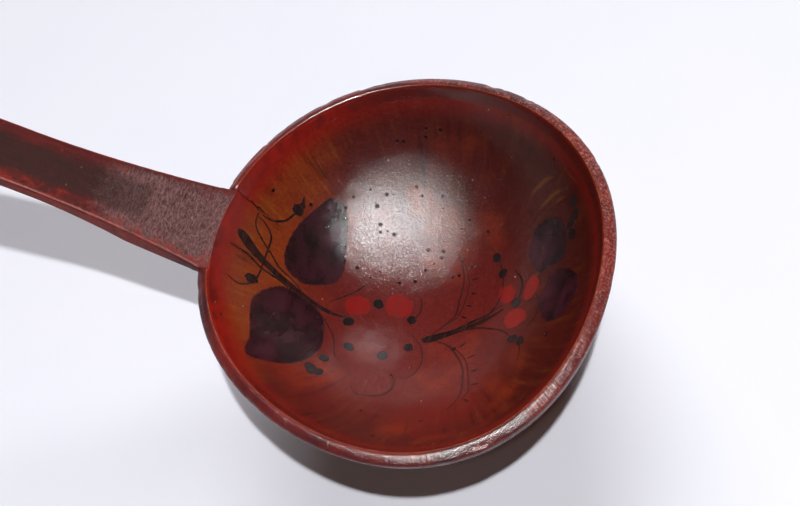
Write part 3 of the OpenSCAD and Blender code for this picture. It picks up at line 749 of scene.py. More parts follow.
def bowl_material():
    """Linseed lacquer on turned and carved linden: painted ground inside, plain dark red outside.

    The attribute across is 0 on the inside wall, 1 on the rim and 2 on the outside.
    """
    hue = settings()[3]
    made, tree, shader, mm = surface("linseed_lacquer_on_linden")
    ground = add(tree, "ShaderNodeGroup", node_tree=ground_tree())
    zone = add(tree, "ShaderNodeAttribute", attribute_name="across")
    outer = add(tree, "ShaderNodeMapRange", {0: zone.outputs["Fac"], 1: 0.35, 2: 0.75})
    beyond = add(tree, "ShaderNodeMapRange", {0: zone.outputs["Fac"], 1: 1.2, 2: 1.7})

    # Outside: smoky streaks round the bowl, and wear down to the wood in knocks and round the foot.
    rounds = add(tree, "ShaderNodeVectorMath", {0: mm, 1: (0.05, 0.05, 0.55)}, operation="MULTIPLY")
    smoke = add(tree, "ShaderNodeTexNoise", {"Vector": rounds, "Scale": 1.0, "Detail": 6.0,
                                             "Roughness": 0.62, "Distortion": 0.3})
    tone = add(tree, "ShaderNodeMapRange", {0: smoke.outputs["Fac"], 1: 0.35, 2: 0.68})
    outside = add(tree, "ShaderNodeMix", {0: tone, 6: linear("#280b09"), 7: hue.outside}, **RGBA)
    blots = add(tree, "ShaderNodeTexNoise", {"Vector": mm, "Scale": 0.09, "Detail": 7.0,
                                             "Roughness": 0.7})
    height_mm = add(tree, "ShaderNodeSeparateXYZ", {0: mm})
    foot = add(tree, "ShaderNodeMapRange", {0: height_mm.outputs["Z"], 1: 4.0, 2: 0.0, 4: 0.22})
    level = add(tree, "ShaderNodeMath", {0: blots.outputs["Fac"], 1: foot}, operation="ADD")
    bald = add(tree, "ShaderNodeMapRange", {0: level, 1: 0.64, 2: 0.70})
    grain = add(tree, "ShaderNodeVectorMath", {0: mm, 1: (0.06, 1.1, 1.1)}, operation="MULTIPLY")
    fibres = add(tree, "ShaderNodeTexNoise", {"Vector": grain, "Scale": 1.0, "Detail": 5.0,
                                              "Roughness": 0.7})
    wood = add(tree, "ShaderNodeMix", {0: fibres.outputs["Fac"], 6: linear("#4e2913"), 7: hue.bare},
               **RGBA)
    outside_worn = add(tree, "ShaderNodeMix", {0: bald, 6: outside.outputs[2], 7: wood.outputs[2]},
                       **RGBA)

    # The rim under its edge coat: oily bare wood with the last of the red ground in it.
    rim_grit = add(tree, "ShaderNodeTexNoise", {"Vector": mm, "Scale": 0.7, "Detail": 6.0,
                                                "Roughness": 0.75})
    rim_mix = add(tree, "ShaderNodeMapRange", {0: rim_grit.outputs["Fac"], 1: 0.40, 2: 0.62})
    rim = add(tree, "ShaderNodeMix", {0: rim_mix, 6: linear("#561c11"), 7: linear("#7c4727")}, **RGBA)
    inside_rim = add(tree, "ShaderNodeMix", {0: outer, 6: ground.outputs["Colour"], 7: rim.outputs[2]},
                     **RGBA)
    everything = add(tree, "ShaderNodeMix", {0: beyond, 6: inside_rim.outputs[2],
                                             7: outside_worn.outputs[2]}, **RGBA)
    dull = add(tree, "ShaderNodeMapRange", {0: bald, 3: 0.42, 4: 0.68})
    gloss = add(tree, "ShaderNodeMix", {0: beyond, 2: ground.outputs["Roughness"], 3: dull},
                data_type="FLOAT")
    tool = add(tree, "ShaderNodeTexNoise", {"Vector": mm, "Scale": 0.22, "Detail": 2.0})
    rough = add(tree, "ShaderNodeMath", {0: tool.outputs["Fac"], 1: 0.5}, operation="MULTIPLY")
    fine = add(tree, "ShaderNodeMath", {0: fibres.outputs["Fac"], 1: 0.07, 2: rough},
               operation="MULTIPLY_ADD")
    sunken = add(tree, "ShaderNodeMath", {0: bald, 1: -0.08, 2: fine}, operation="MULTIPLY_ADD")
    relief = add(tree, "ShaderNodeMix", {0: beyond, 2: ground.outputs["Height"], 3: sunken},
                 data_type="FLOAT")
    varnished(tree, shader, everything.outputs[2], gloss.outputs[0], relief,
              coat_map=ground.outputs["Coat"])
    return made


def rim_material():
    """Thick red edge lacquer on the rim: knocked, greasy and worn through to the wood in patches."""
    made, tree, shader, mm = surface("worn_edge_lacquer")
    apart = add(tree, "ShaderNodeSeparateXYZ", {0: mm})
    broad = add(tree, "ShaderNodeTexNoise", {"Vector": mm, "Scale": 0.06, "Detail": 3.0})
    tone = add(tree, "ShaderNodeMapRange", {0: broad.outputs["Fac"], 1: 0.36, 2: 0.66})
    red = add(tree, "ShaderNodeMix", {0: tone, 6: linear("#3a1114"), 7: linear("#661a14")}, **RGBA)
    grit = add(tree, "ShaderNodeTexNoise", {"Vector": mm, "Scale": 0.75, "Detail": 7.0,
                                            "Roughness": 0.78})
    # Most of the wear is on the rim opposite the handle.
    side = add(tree, "ShaderNodeVectorMath", {0: mm, 1: (0.0010, 0.0006, 0.0)}, operation="DOT_PRODUCT")
    level = add(tree, "ShaderNodeMath", {0: grit.outputs["Fac"], 1: side.outputs["Value"]},
                operation="ADD")
    worn = add(tree, "ShaderNodeMapRange", {0: level, 1: 0.58, 2: 0.66, 4: 0.75})
    bare = add(tree, "ShaderNodeMix", {0: worn, 6: red.outputs[2], 7: linear("#99513a")}, **RGBA)
    chalk = add(tree, "ShaderNodeTexNoise", {"Vector": mm, "Scale": 1.6, "Detail": 4.0,
                                             "Roughness": 0.7})
    ashen = add(tree, "ShaderNodeMath", {0: chalk.outputs["Fac"], 1: side.outputs["Value"]},
                operation="ADD")
    dusty = add(tree, "ShaderNodeMapRange", {0: ashen, 1: 0.58, 2: 0.72, 4: 0.45})
    grey = add(tree, "ShaderNodeMix", {0: dusty, 6: bare.outputs[2], 7: linear("#8a7672")}, **RGBA)
    black = add(tree, "ShaderNodeMapRange", {0: grit.outputs["Fac"], 1: 0.38, 2: 0.28, 4: 0.7})
    dark = add(tree, "ShaderNodeMix", {0: black, 6: grey.outputs[2], 7: linear("#1c0a09")}, **RGBA)
    gloss = add(tree, "ShaderNodeMapRange", {0: chalk.outputs["Fac"], 1: 0.3, 2: 0.7, 3: 0.30, 4: 0.58})
    # Small dents side by side along the rim, 0.8 mm apart.
    flat = add(tree, "ShaderNodeCombineXYZ", {0: apart.outputs["X"], 1: apart.outputs["Y"]})
    heading = add(tree, "ShaderNodeVectorMath", {0: flat}, operation="NORMALIZE")
    spaced = add(tree, "ShaderNodeVectorMath", {0: heading, "Scale": 60.0}, operation="SCALE")
    dents = add(tree, "ShaderNodeTexNoise", {"Vector": spaced, "Scale": 1.3, "Detail": 2.0})
    knocked = add(tree, "ShaderNodeMath", {0: dents.outputs["Fac"], 1: 0.20}, operation="MULTIPLY")
    lumps = add(tree, "ShaderNodeMath", {0: grit.outputs["Fac"], 1: 0.16, 2: knocked},
                operation="MULTIPLY_ADD")
    both = add(tree, "ShaderNodeMath", {0: chalk.outputs["Fac"], 1: 0.07, 2: lumps},
               operation="MULTIPLY_ADD")
    varnished(tree, shader, dark.outputs[2], gloss.outputs[0], both, 0.85, 0.18)
    return made


def handle_ground_tree():
    """Shader group: the handle's lacquer, shared by the wood and the dark panel painted on it.

    The attributes along (millimetres from the bowl), across (-1 to 1 over the top) and flank
    (0 on the top, 1 on the sides and underside) follow the handle.
    """
    if "handle_ground" in bpy.data.node_groups:
        return bpy.data.node_groups["handle_ground"]
    hue = settings()[3]
    tree, _, result = new_tree(
        "handle_ground", "ShaderNodeTree", [],
        [("Colour", "NodeSocketColor"), ("Roughness", "NodeSocketFloat"), ("Height", "NodeSocketFloat"),
         ("Skin", "NodeSocketFloat")])
    along = add(tree, "ShaderNodeAttribute", attribute_name="along")
    across = add(tree, "ShaderNodeAttribute", attribute_name="across")
    flank = add(tree, "ShaderNodeAttribute", attribute_name="flank")
    mm = object_mm(tree)
    spot = add(tree, "ShaderNodeSeparateXYZ", {0: mm})
    lengthwise = add(tree, "ShaderNodeCombineXYZ",
                     {0: add(tree, "ShaderNodeMath", {0: along.outputs["Fac"], 1: 0.10},
                             operation="MULTIPLY"),
                      1: spot.outputs["Y"],
                      2: add(tree, "ShaderNodeMath", {0: flank.outputs["Fac"], 1: 6.0},
                             operation="MULTIPLY")})
    streak = add(tree, "ShaderNodeTexNoise", {"Vector": lengthwise, "Scale": 0.6, "Detail": 7.0,
                                              "Roughness": 0.7, "Distortion": 0.6})
    tone = add(tree, "ShaderNodeMapRange", {0: streak.outputs["Fac"], 1: 0.34, 2: 0.68})
    top = add(tree, "ShaderNodeMix", {0: tone, 6: linear("#331311"), 7: hue.handle}, **RGBA)
    red = add(tree, "ShaderNodeMix", {0: tone, 6: linear("#4c130d"), 7: hue.handle_side}, **RGBA)
    blots = add(tree, "ShaderNodeTexNoise", {"Vector": mm, "Scale": 0.28, "Detail": 6.0,
                                             "Roughness": 0.7})
    # Red ground comes through along the near edge of the top and in worn patches.
    near = add(tree, "ShaderNodeMapRange", {0: across.outputs["Fac"], 1: -0.45, 2: -0.95, 4: 0.20})
    bleed = add(tree, "ShaderNodeMath", {0: blots.outputs["Fac"], 1: near}, operation="ADD")
    through = add(tree, "ShaderNodeMapRange", {0: bleed, 1: 0.58, 2: 0.70, 4: 0.85})
    topped = add(tree, "ShaderNodeMix", {0: through, 6: top.outputs[2], 7: linear("#741c11")}, **RGBA)
    sided = add(tree, "ShaderNodeMix", {0: flank.outputs["Fac"], 6: topped.outputs[2],
                                        7: red.outputs[2]}, **RGBA)
    # Orange wear on the sides.
    rub = add(tree, "ShaderNodeMapRange", {0: blots.outputs["Fac"], 1: 0.55, 2: 0.68})
    rub_side = add(tree, "ShaderNodeMath", {0: rub, 1: flank.outputs["Fac"]}, operation="MULTIPLY")
    orange = add(tree, "ShaderNodeMix", {0: rub_side, 6: sided.outputs[2], 7: linear("#8a3b1f")}, **RGBA)

    # The root takes the dark colour of the bowl's outside where it meets it.
    meets = add(tree, "ShaderNodeMapRange", {0: along.outputs["Fac"], 1: 20.0, 2: 0.0, 4: 0.9}, **SOFT)
    meets_side = add(tree, "ShaderNodeMath", {0: meets, 1: flank.outputs["Fac"]}, operation="MULTIPLY")
    rooted = add(tree, "ShaderNodeMix", {0: meets_side, 6: orange.outputs[2], 7: linear("#3f140f")},
                 **RGBA)

    # Wrinkled, chalky skin of old varnish, which thins out from 12 to 50 mm off the bowl; its pinkish grey
    # is partly chalky wear and partly painted sheen standing in for the key light's glare.
    skin_reach = add(tree, "ShaderNodeMapRange", {0: along.outputs["Fac"], 1: 50.0, 2: 12.0}, **SOFT)
    skin_edge = add(tree, "ShaderNodeMath", {0: blots.outputs["Fac"], 1: skin_reach}, operation="ADD")
    skin = add(tree, "ShaderNodeMapRange", {0: skin_edge, 1: 0.62, 2: 1.20}, **SOFT)
    upper = add(tree, "ShaderNodeMath", {0: 1.0, 1: flank.outputs["Fac"]}, operation="SUBTRACT")
    aside = add(tree, "ShaderNodeMath", {0: across.outputs["Fac"]}, operation="ABSOLUTE")
    frayed = add(tree, "ShaderNodeMath", {0: blots.outputs["Fac"], 1: 0.9, 2: aside},
                 operation="MULTIPLY_ADD")
    inward = add(tree, "ShaderNodeMapRange", {0: frayed, 1: 1.12, 2: 1.42, 3: 1.0, 4: 0.15}, **SOFT)
    covered = add(tree, "ShaderNodeMath", {0: skin, 1: inward}, operation="MULTIPLY")
    skin_top = add(tree, "ShaderNodeMath", {0: covered, 1: upper}, operation="MULTIPLY")
    cells = add(tree, "ShaderNodeTexVoronoi", {"Vector": mm, "Scale": 0.95}, feature="SMOOTH_F1")
    folded = add(tree, "ShaderNodeVectorMath", {0: mm, 1: (1.5, 0.5, 1.0)}, operation="MULTIPLY")
    wrinkle = add(tree, "ShaderNodeTexNoise", {"Vector": folded, "Scale": 1.35, "Detail": 6.0,
                                               "Roughness": 0.72, "Distortion": 0.8})
    # Painted highlight: the wrinkle ridges are painted pale pinkish grey and the folds dark, standing in
    # for the glare that catches the ridges.
    ridge_highlight = add(tree, "ShaderNodeMapRange", {0: wrinkle.outputs["Fac"], 1: 0.38, 2: 0.70})
    chalk = add(tree, "ShaderNodeMix", {0: ridge_highlight, 6: linear("#2f1614"), 7: linear("#866260")}, **RGBA)
    skin_with_painted_sheen = add(tree, "ShaderNodeMix", {0: add(tree, "ShaderNodeMath", {0: skin_top, 1: 0.8},
                                                 operation="MULTIPLY"),
                                          6: rooted.outputs[2], 7: chalk.outputs[2]}, **RGBA)

    # Hairline scratches in two directions, and pale chips.
    lines = None
    for turn, cut in ((0.5, 0.715), (1.9, 0.735)):
        turned = add(tree, "ShaderNodeVectorRotate", {"Vector": mm, "Angle": turn},
                     rotation_type="Z_AXIS")
        combed = add(tree, "ShaderNodeVectorMath", {0: turned, 1: (0.07, 1.9, 0.05)},
                     operation="MULTIPLY")
        hair = add(tree, "ShaderNodeTexNoise", {"Vector": combed, "Scale": 1.0, "Detail": 2.0})
        line = add(tree, "ShaderNodeMapRange", {0: hair.outputs["Fac"], 1: cut, 2: cut + 0.03, 4: 0.55})
        lines = add(tree, "ShaderNodeMath", {0: line, 1: lines}, operation="MAXIMUM") if lines else line
    flakes = add(tree, "ShaderNodeTexVoronoi", {"Vector": mm, "Scale": 0.26})
    luck = add(tree, "ShaderNodeSeparateXYZ", {0: flakes.outputs["Color"]})
    few = add(tree, "ShaderNodeMath", {0: luck.outputs["Y"], 1: 0.84}, operation="GREATER_THAN")
    speck = add(tree, "ShaderNodeMapRange", {0: flakes.outputs["Distance"], 1: 0.10, 2: 0.06})
    chip = add(tree, "ShaderNodeMath", {0: speck, 1: few}, operation="MULTIPLY")
    scar = add(tree, "ShaderNodeMath", {0: chip, 1: lines}, operation="MAXIMUM")
    final = add(tree, "ShaderNodeMix", {0: scar, 6: skin_with_painted_sheen.outputs[2], 7: linear("#8a6450")}, **RGBA)
    tree.links.new(final.outputs[2], result.inputs["Colour"])
    gloss = add(tree, "ShaderNodeMapRange", {0: wrinkle.outputs["Fac"], 1: 0.3, 2: 0.7, 3: 0.40, 4: 0.6})
    tree.links.new(gloss.outputs[0], result.inputs["Roughness"])
    depth = add(tree, "ShaderNodeMapRange", {0: skin_top, 3: 0.10, 4: 0.34})
    folds = add(tree, "ShaderNodeMath", {0: wrinkle.outputs["Fac"], 1: depth}, operation="MULTIPLY")
    grooved = add(tree, "ShaderNodeMath", {0: streak.outputs["Fac"], 1: 0.07, 2: folds},
                  operation="MULTIPLY_ADD")
    pocked = add(tree, "ShaderNodeMath", {0: cells.outputs["Distance"],
                                          1: add(tree, "ShaderNodeMath", {0: skin_top, 1: 0.05},
                                                 operation="MULTIPLY"), 2: grooved},
                 operation="MULTIPLY_ADD")
    cut = add(tree, "ShaderNodeMath", {0: scar, 1: -0.06, 2: pocked}, operation="MULTIPLY_ADD")
    tree.links.new(cut.outputs[0], result.inputs["Height"])
    tree.links.new(skin_top.outputs[0], result.inputs["Skin"])
    return tree


def handle_material(name, panel):
    """Lacquered handle; with panel, the brown-black middle painted on it, rubbed at its borders."""
    hue = settings()[3]
    made, tree, shader, mm = surface(name)
    ground = add(tree, "ShaderNodeGroup", node_tree=handle_ground_tree())
    look = ground.outputs["Colour"]
    if panel:
        edge = add(tree, "ShaderNodeAttribute", attribute_name="border")
        grit = add(tree, "ShaderNodeTexNoise", {"Vector": mm, "Scale": 0.22, "Detail": 7.0,
                                                "Roughness": 0.72})
        torn = add(tree, "ShaderNodeMath", {0: grit.outputs["Fac"], 1: 5.0, 2: edge.outputs["Fac"]},
                   operation="MULTIPLY_ADD")
        cover = add(tree, "ShaderNodeMapRange", {0: torn, 1: 2.4, 2: 5.4, 4: 0.86}, **SOFT)
        # Where the wrinkled skin lies, whose pale colour is partly painted sheen, the dark panel is let
        # thinner so that colour shows through.
        hidden = add(tree, "ShaderNodeMapRange", {0: ground.outputs["Skin"], 3: 1.0, 4: 0.65})
        full = add(tree, "ShaderNodeMath", {0: cover, 1: hidden}, operation="MULTIPLY")
        mixed = add(tree, "ShaderNodeMix", {0: full, 6: look, 7: hue.handle_panel}, **RGBA)
        look = mixed.outputs[2]
    flank = add(tree, "ShaderNodeAttribute", attribute_name="flank")
    shine = add(tree, "ShaderNodeMapRange", {0: flank.outputs["Fac"], 3: 0.17, 4: 0.03})
    varnished(tree, shader, look, ground.outputs["Roughness"], ground.outputs["Height"], 0.17, 0.30,
              shine.outputs[0])
    return made


def gold_material():
    """Tin powder rubbed on the wet ground and turned golden by the baked varnish, mostly worn off."""
    hue = settings()[3]
    made, tree, shader, mm = surface("tin_powder_under_varnish")
    ground = add(tree, "ShaderNodeGroup", node_tree=ground_tree())
    edge = add(tree, "ShaderNodeAttribute", attribute_name="across")
    grain = add(tree, "ShaderNodeTexNoise", {"Vector": mm, "Scale": 2.2, "Detail": 4.0, "Roughness": 0.8})
    torn = add(tree, "ShaderNodeMath", {0: grain.outputs["Fac"], 1: 2.4, 2: edge.outputs["Fac"]},
               operation="MULTIPLY_ADD")
    cover = add(tree, "ShaderNodeMapRange", {0: torn, 1: 1.35, 2: 2.2, 4: 0.25})
    look = add(tree, "ShaderNodeMix", {0: cover, 6: ground.outputs["Colour"], 7: hue.gold}, **RGBA)
    shine = add(tree, "ShaderNodeMath", {0: cover, 1: 0.2}, operation="MULTIPLY")
    tree.links.new(shine.outputs[0], shader.inputs["Metallic"])
    varnished(tree, shader, look.outputs[2], ground.outputs["Roughness"], ground.outputs["Height"],
              coat_map=ground.outputs["Coat"])
    return made


# ---------------------------------------------------------------- the carved forms

def rim_wear(point, bowl):
    """Where a point of the rim lies after years of knocks: chipped, waved and let down at the handle."""
    x, y, z = point
    at_rim = smooth(RIM_Z - 5 * MM, RIM_Z - 1.2 * MM, z)
    if at_rim <= 0:
        return point
    radius = math.hypot(x, y)
    rough = noise.fractal(Vector((x, y, z)) * 160, 0.9, 2.2, 4)
    bite = max(rough - 0.12, 0) * 1.7
    wave = noise.noise(Vector((x, y, 0)) * 30)
    outer = smooth(0.935, 1.0, radius / (inner_radius(math.atan2(y, x), min(z, RIM_Z), bowl) + 4 * MM))
    cut = bowl.chip_depth * (at_rim * outer * (bite + 0.10 * abs(rough)))
    z -= cut + at_rim * 0.14 * MM * (1 + wave) * outer
    pull = 1 - at_rim * outer * (0.8 * cut) / radius
    x, y = x * pull, y * pull
    at_handle = (1 - smooth(13.2 * MM, 15.0 * MM, abs(y))) if x < 0 else 0
    level = RIM_Z - 2.3 * MM
    if z > level:
        z -= at_handle * 0.9 * (z - level)
    return x, y, z


def wear_rim(made, bowl):
    """Wears the rim of a turned form, then turns its faces outward."""
    for vertex in made.data.vertices:
        vertex.co = rim_wear(vertex.co, bowl)
    outward(made)


def bowl_profile(bowl):
    """The bowl's outline from the middle of the inside, over the rim, to the middle of the foot."""
    ball, height = bowl.inner_ball / MM, bowl.inner_height / MM
    shell, rise = bowl.outer_ball / MM, bowl.outer_height / MM
    foot = bowl.foot / MM
    points, zones = [], []
    end = math.asin(61.6 / ball)
    for i in range(78):
        q = end * i / 77
        points.append((ball * math.sin(q), height - ball * math.cos(q)))
        zones.append(0)
    lip = [(61.85, 49.72), (62.1, 49.9), (62.45, 49.98), (62.9, 49.98), (63.4, 49.78), (63.9, 49.5),
           (64.4, 49.22), (64.85, 48.95), (65.2, 48.68), (65.45, 48.4), (65.58, 48.08), (65.56, 47.7)]
    points += lip
    zones += [0.3, 0.8, 1, 1, 1, 1, 1, 1, 1, 1, 1.2, 1.5]
    start, stop = 47.2, 1.0
    for i in range(80):
        z = start + (stop - start) * (i / 79) ** 0.9
        points.append((math.sqrt(shell ** 2 - (rise - z) ** 2), z))
        zones.append(2)
    points += [(foot + 0.2, 0.5), (foot - 0.25, 0.15), (foot - 1.1, 0.0)]
    points += [((foot - 1.1) * (1 - i / 16), 0.0) for i in range(1, 17)]
    zones += [2] * 19
    return points, zones


def turned(name, points, across, material):
    """A turned form from its profile in millimetres, as a plain mesh."""
    bowl = settings()[0]
    made = mesh_object(name, [(x * MM, 0, z * MM) for x, z in points],
                       edges=[(i, i + 1) for i in range(len(points) - 1)],
                       attributes={"across": across})
    values = {"Columns": bowl.turns, "Rows": len(points), "Material": material}
    values.update(shape_values(bowl))
    run_nodes(made, turned_tree(), values)
    return made


SEAT = 14 * MM        # how far the handle's inner end runs into the bowl's wall
ROUND_END = 0.7       # radius of the handle's rounded end, as a share of its width there


def handle_half_width(u, h):
    """Half the handle's width, u metres along its slope."""
    inset = (h.root - h.neck) / 2
    arc = (h.flare ** 2 + inset ** 2) / (2 * inset)
    if u <= 0:
        half = h.root / 2
    elif u < h.flare:
        half = h.neck / 2 + arc - math.sqrt(arc ** 2 - (h.flare - u) ** 2)
    else:
        half = h.neck / 2 + (h.end - h.neck) / 2 * (u - h.flare) / (h.reach - h.flare)
    ball = ROUND_END * h.end
    past = u - (h.reach - ball)
    if past > 0:
        half = min(half, math.sqrt(max(ball ** 2 - past ** 2, 0)))
    return half


def handle_depth(y, u, h):
    """Depth of the underside below the handle's top."""
    y = min(abs(y), h.root / 2)
    belly = h.thick - h.belly + math.sqrt(h.belly ** 2 - y ** 2)
    if u >= h.flare:
        return belly
    bar = h.root / 2 + MM
    half_round = h.root_depth - bar + math.sqrt(bar ** 2 - y ** 2)
    edge = h.thick - h.belly + math.sqrt(h.belly ** 2 - h.neck ** 2 / 4) - 0.3 * MM
    drop = h.root_depth - edge
    arc = (h.flare ** 2 + drop ** 2) / (2 * drop)
    under = edge + arc - math.sqrt(arc ** 2 - (h.flare - max(u, 0)) ** 2)
    return max(belly, min(half_round, under))


def handle_section(u, h):
    """One section as (y, depth, flank) points, from the middle of the top round to it again."""
    half = handle_half_width(u, h)
    wear = min(h.worn_edge, half * 0.6)
    side = handle_depth(half, u, h)
    points = []
    for i in range(15):
        points.append(((half - wear) * i / 14, 0.0, 0.0))
    for i in range(1, 7):
        q = math.pi / 2 * i / 6
        points.append((half - wear + wear * math.sin(q), wear * 0.8 * (1 - math.cos(q)), i / 6))
    for i in range(1, 6):
        points.append((half, wear * 0.8 + (side - wear * 1.2 - wear * 0.8) * i / 6, 1.0))
    for i in range(1, 23):
        t = 1 - i / 22
        y = half * math.sin(math.pi / 2 * t)
        lost = 0.75 * wear * smooth(0.80, 1.0, t) ** 2
        points.append((y, handle_depth(y, u, h) - lost, 1.0))
    mirrored = [(-y, d, f) for y, d, f in reversed(points[1:-1])]
    return points + mirrored


def slope_frame(h):
    """Where the handle starts to rise, its direction along the slope and the one out of its top."""
    return (Vector((-h.start, 0, h.top)), Vector((-math.cos(h.rise), 0, math.sin(h.rise))),
            Vector((math.sin(h.rise), 0, math.cos(h.rise))))


def handle_mesh(name):
    """The handle as a lofted, hand-finished bar whose inner end lies in the bowl's wall."""
    bowl, h = settings()[:2]
    start, axis, normal = slope_frame(h)
    stations = [-SEAT * (1 - i / 9) for i in range(9)]
    straight = h.reach - ROUND_END * h.end
    stations += [straight * i / 150 for i in range(151)]
    stations += [straight + ROUND_END * h.end * math.sin(math.radians(89.4) * i / 30)
                 for i in range(1, 31)]
    rows, along, across, flank = [], [], [], []
    for u in stations:
        section = handle_section(u, h)
        half = handle_half_width(u, h)
        for y, depth, side in section:
            hollow = 0.03 * MM * noise.noise(Vector((u * 38, y * 60, 3)))
            knock = 0.30 * MM * max(noise.fractal(Vector((u, y, depth)) * 210, 0.9, 2, 3) - 0.25, 0)
            edge = smooth(0.75, 1.0, abs(y) / max(half, 1e-6))
            bend = 1 - 0.012 * (1 + noise.noise(Vector((u * 22, 9, 1 if y > 0 else 5)))) * (u > 2 * MM)
            low = depth + (0.05 * MM + abs(hollow)) * (side < 0.5) * (u > 1 * MM)
            low += knock * edge * (u > 2 * MM) if side < 0.9 else -0.5 * knock
            if u <= 0:
                reach = -u / SEAT
                wall = inner_radius(math.atan2(y, -h.start), h.top - 0.4 * MM, bowl)
                end = -math.sqrt(wall ** 2 - y ** 2)
                top = Vector((-h.start + (end + h.start) * reach, y, h.top))
                below = start + axis * u - normal * depth
                top_share = smooth(6 * MM, 1.5 * MM, depth) if depth < 6 * MM else 0
                level = Vector((top.x, y, h.top - depth))
                where = Vector((below.x, y, below.z)).lerp(level, top_share)
                angle, radius = math.atan2(y, where.x), math.hypot(where.x, y)
                kept = inner_radius(angle, where.z, bowl) + min(depth, 0.8 * MM)
                if radius < kept:
                    where.x = -math.sqrt(kept ** 2 - y ** 2)
            else:
                where = start + axis * u - normal * low
                where.y = y * bend
            rows.append(where)
            along.append(u / MM)
            across.append(y / max(half, 1e-6))
            flank.append(side)
    # One more ring inside the wood closes the inner end out of sight.
    ring = len(handle_section(0, h))
    inside_wall, halfway = 0.8 * MM, 0.5
    core = Vector((-h.start - inside_wall, 0, RIM_Z - 7 * MM))
    closing = [p.lerp(Vector((core.x, halfway * p.y, core.z)), halfway) for p in rows[:ring]]
    rows = closing + rows
    along, across, flank = (values[:ring] + values for values in (along, across, flank))
    stations = [stations[0]] + stations
    faces = []
    for i in range(len(stations) - 1):
        for k in range(ring):
            a, b = i * ring + k, i * ring + (k + 1) % ring
            faces.append((a, b, b + ring, a + ring))
    last = (len(stations) - 1) * ring
    top_half = ring // 2
    for base in (0, last):
        for k in range(top_half):
            left, right = base + (ring - k) % ring, base + k
            next_left, next_right = base + ring - k - 1, base + k + 1
            corners = []
            for c in (left, right, next_right, next_left):
                if c not in corners:
                    corners.append(c)
            if len(corners) > 2:
                faces.append(tuple(corners if base else reversed(corners)))
    return mesh_object(name, [tuple(p) for p in rows], faces=faces,
                       attributes={"along": along, "across": across, "flank": flank})


# ---------------------------------------------------------------- the painted artwork, in millimetres

FRUITS = {
    "large_upper": ((-38, 13), [(-34, 27), (-32, 23), (-31, 15), (-30, 8), (-31, 2), (-35, -1), (-40, -3),
                                (-45, -1), (-47, 3), (-47, 8), (-46, 13), (-44, 18), (-41, 23), (-38, 27)]),
    "large_lower": ((-39, -21), [(-49, -11), (-46, -7), (-43, -6), (-38, -7), (-34, -9), (-31, -12),
                                 (-29, -17), (-28, -22), (-29, -27), (-31, -31), (-34, -34), (-38, -36),
                                 (-42, -37), (-44, -34), (-45, -30), (-47, -25), (-49, -20), (-50, -15)]),
    "small_upper": ((37, 22), [(34, 30), (38, 30), (41, 28), (43, 24), (44, 19), (42, 16), (38, 15),
                               (35, 14), (32, 17), (30, 20), (30, 24), (31, 28)]),
    "small_lower": ((44, 5), [(42, 14), (46, 13), (50, 9), (51, 4), (49, 0), (47, -3), (44, -4),
                              (41, -3), (38, 1), (37, 5), (38, 9), (39, 12)]),
}
PETALS = {
    "left": ((-23, -4), [(-27, -5), (-25, -7), (-22, -7), (-19, -5), (-19, -2), (-21, 0), (-24, 0),
                         (-27, -2)]),
    "middle": ((-11, 0), [(-15, -1), (-13, -4), (-9, -4), (-6, -2), (-6, 2), (-9, 4), (-13, 4), (-15, 2)]),
    "right_left": ((25, 8), [(22, 7), (24, 5), (27, 5), (28, 8), (27, 11), (24, 11), (22, 10)]),
    "right_upper": ((33, 10), [(31, 6), (33, 5), (35, 7), (36, 11), (34, 14), (32, 13), (31, 10)]),
    "right_lower": ((30, 0), [(27, 2), (26, -1), (28, -4), (31, -4), (34, -1), (33, 2), (30, 3)]),
}
BERRIES = [(-46, 19), (-52, -9), (-24, -10), (-21, -19), (-17, -1), (-10, -19), (-26, -26), (-27, -32),
           (-3, -14), (-5, -4), (19, 20), (22, 15), (29, 5), (31, -8), (34, -9)]
BLOBS = [((44, 32), (45, 28)), ((44, 26), (45, 23)), ((-28, -31), (-25, -32))]
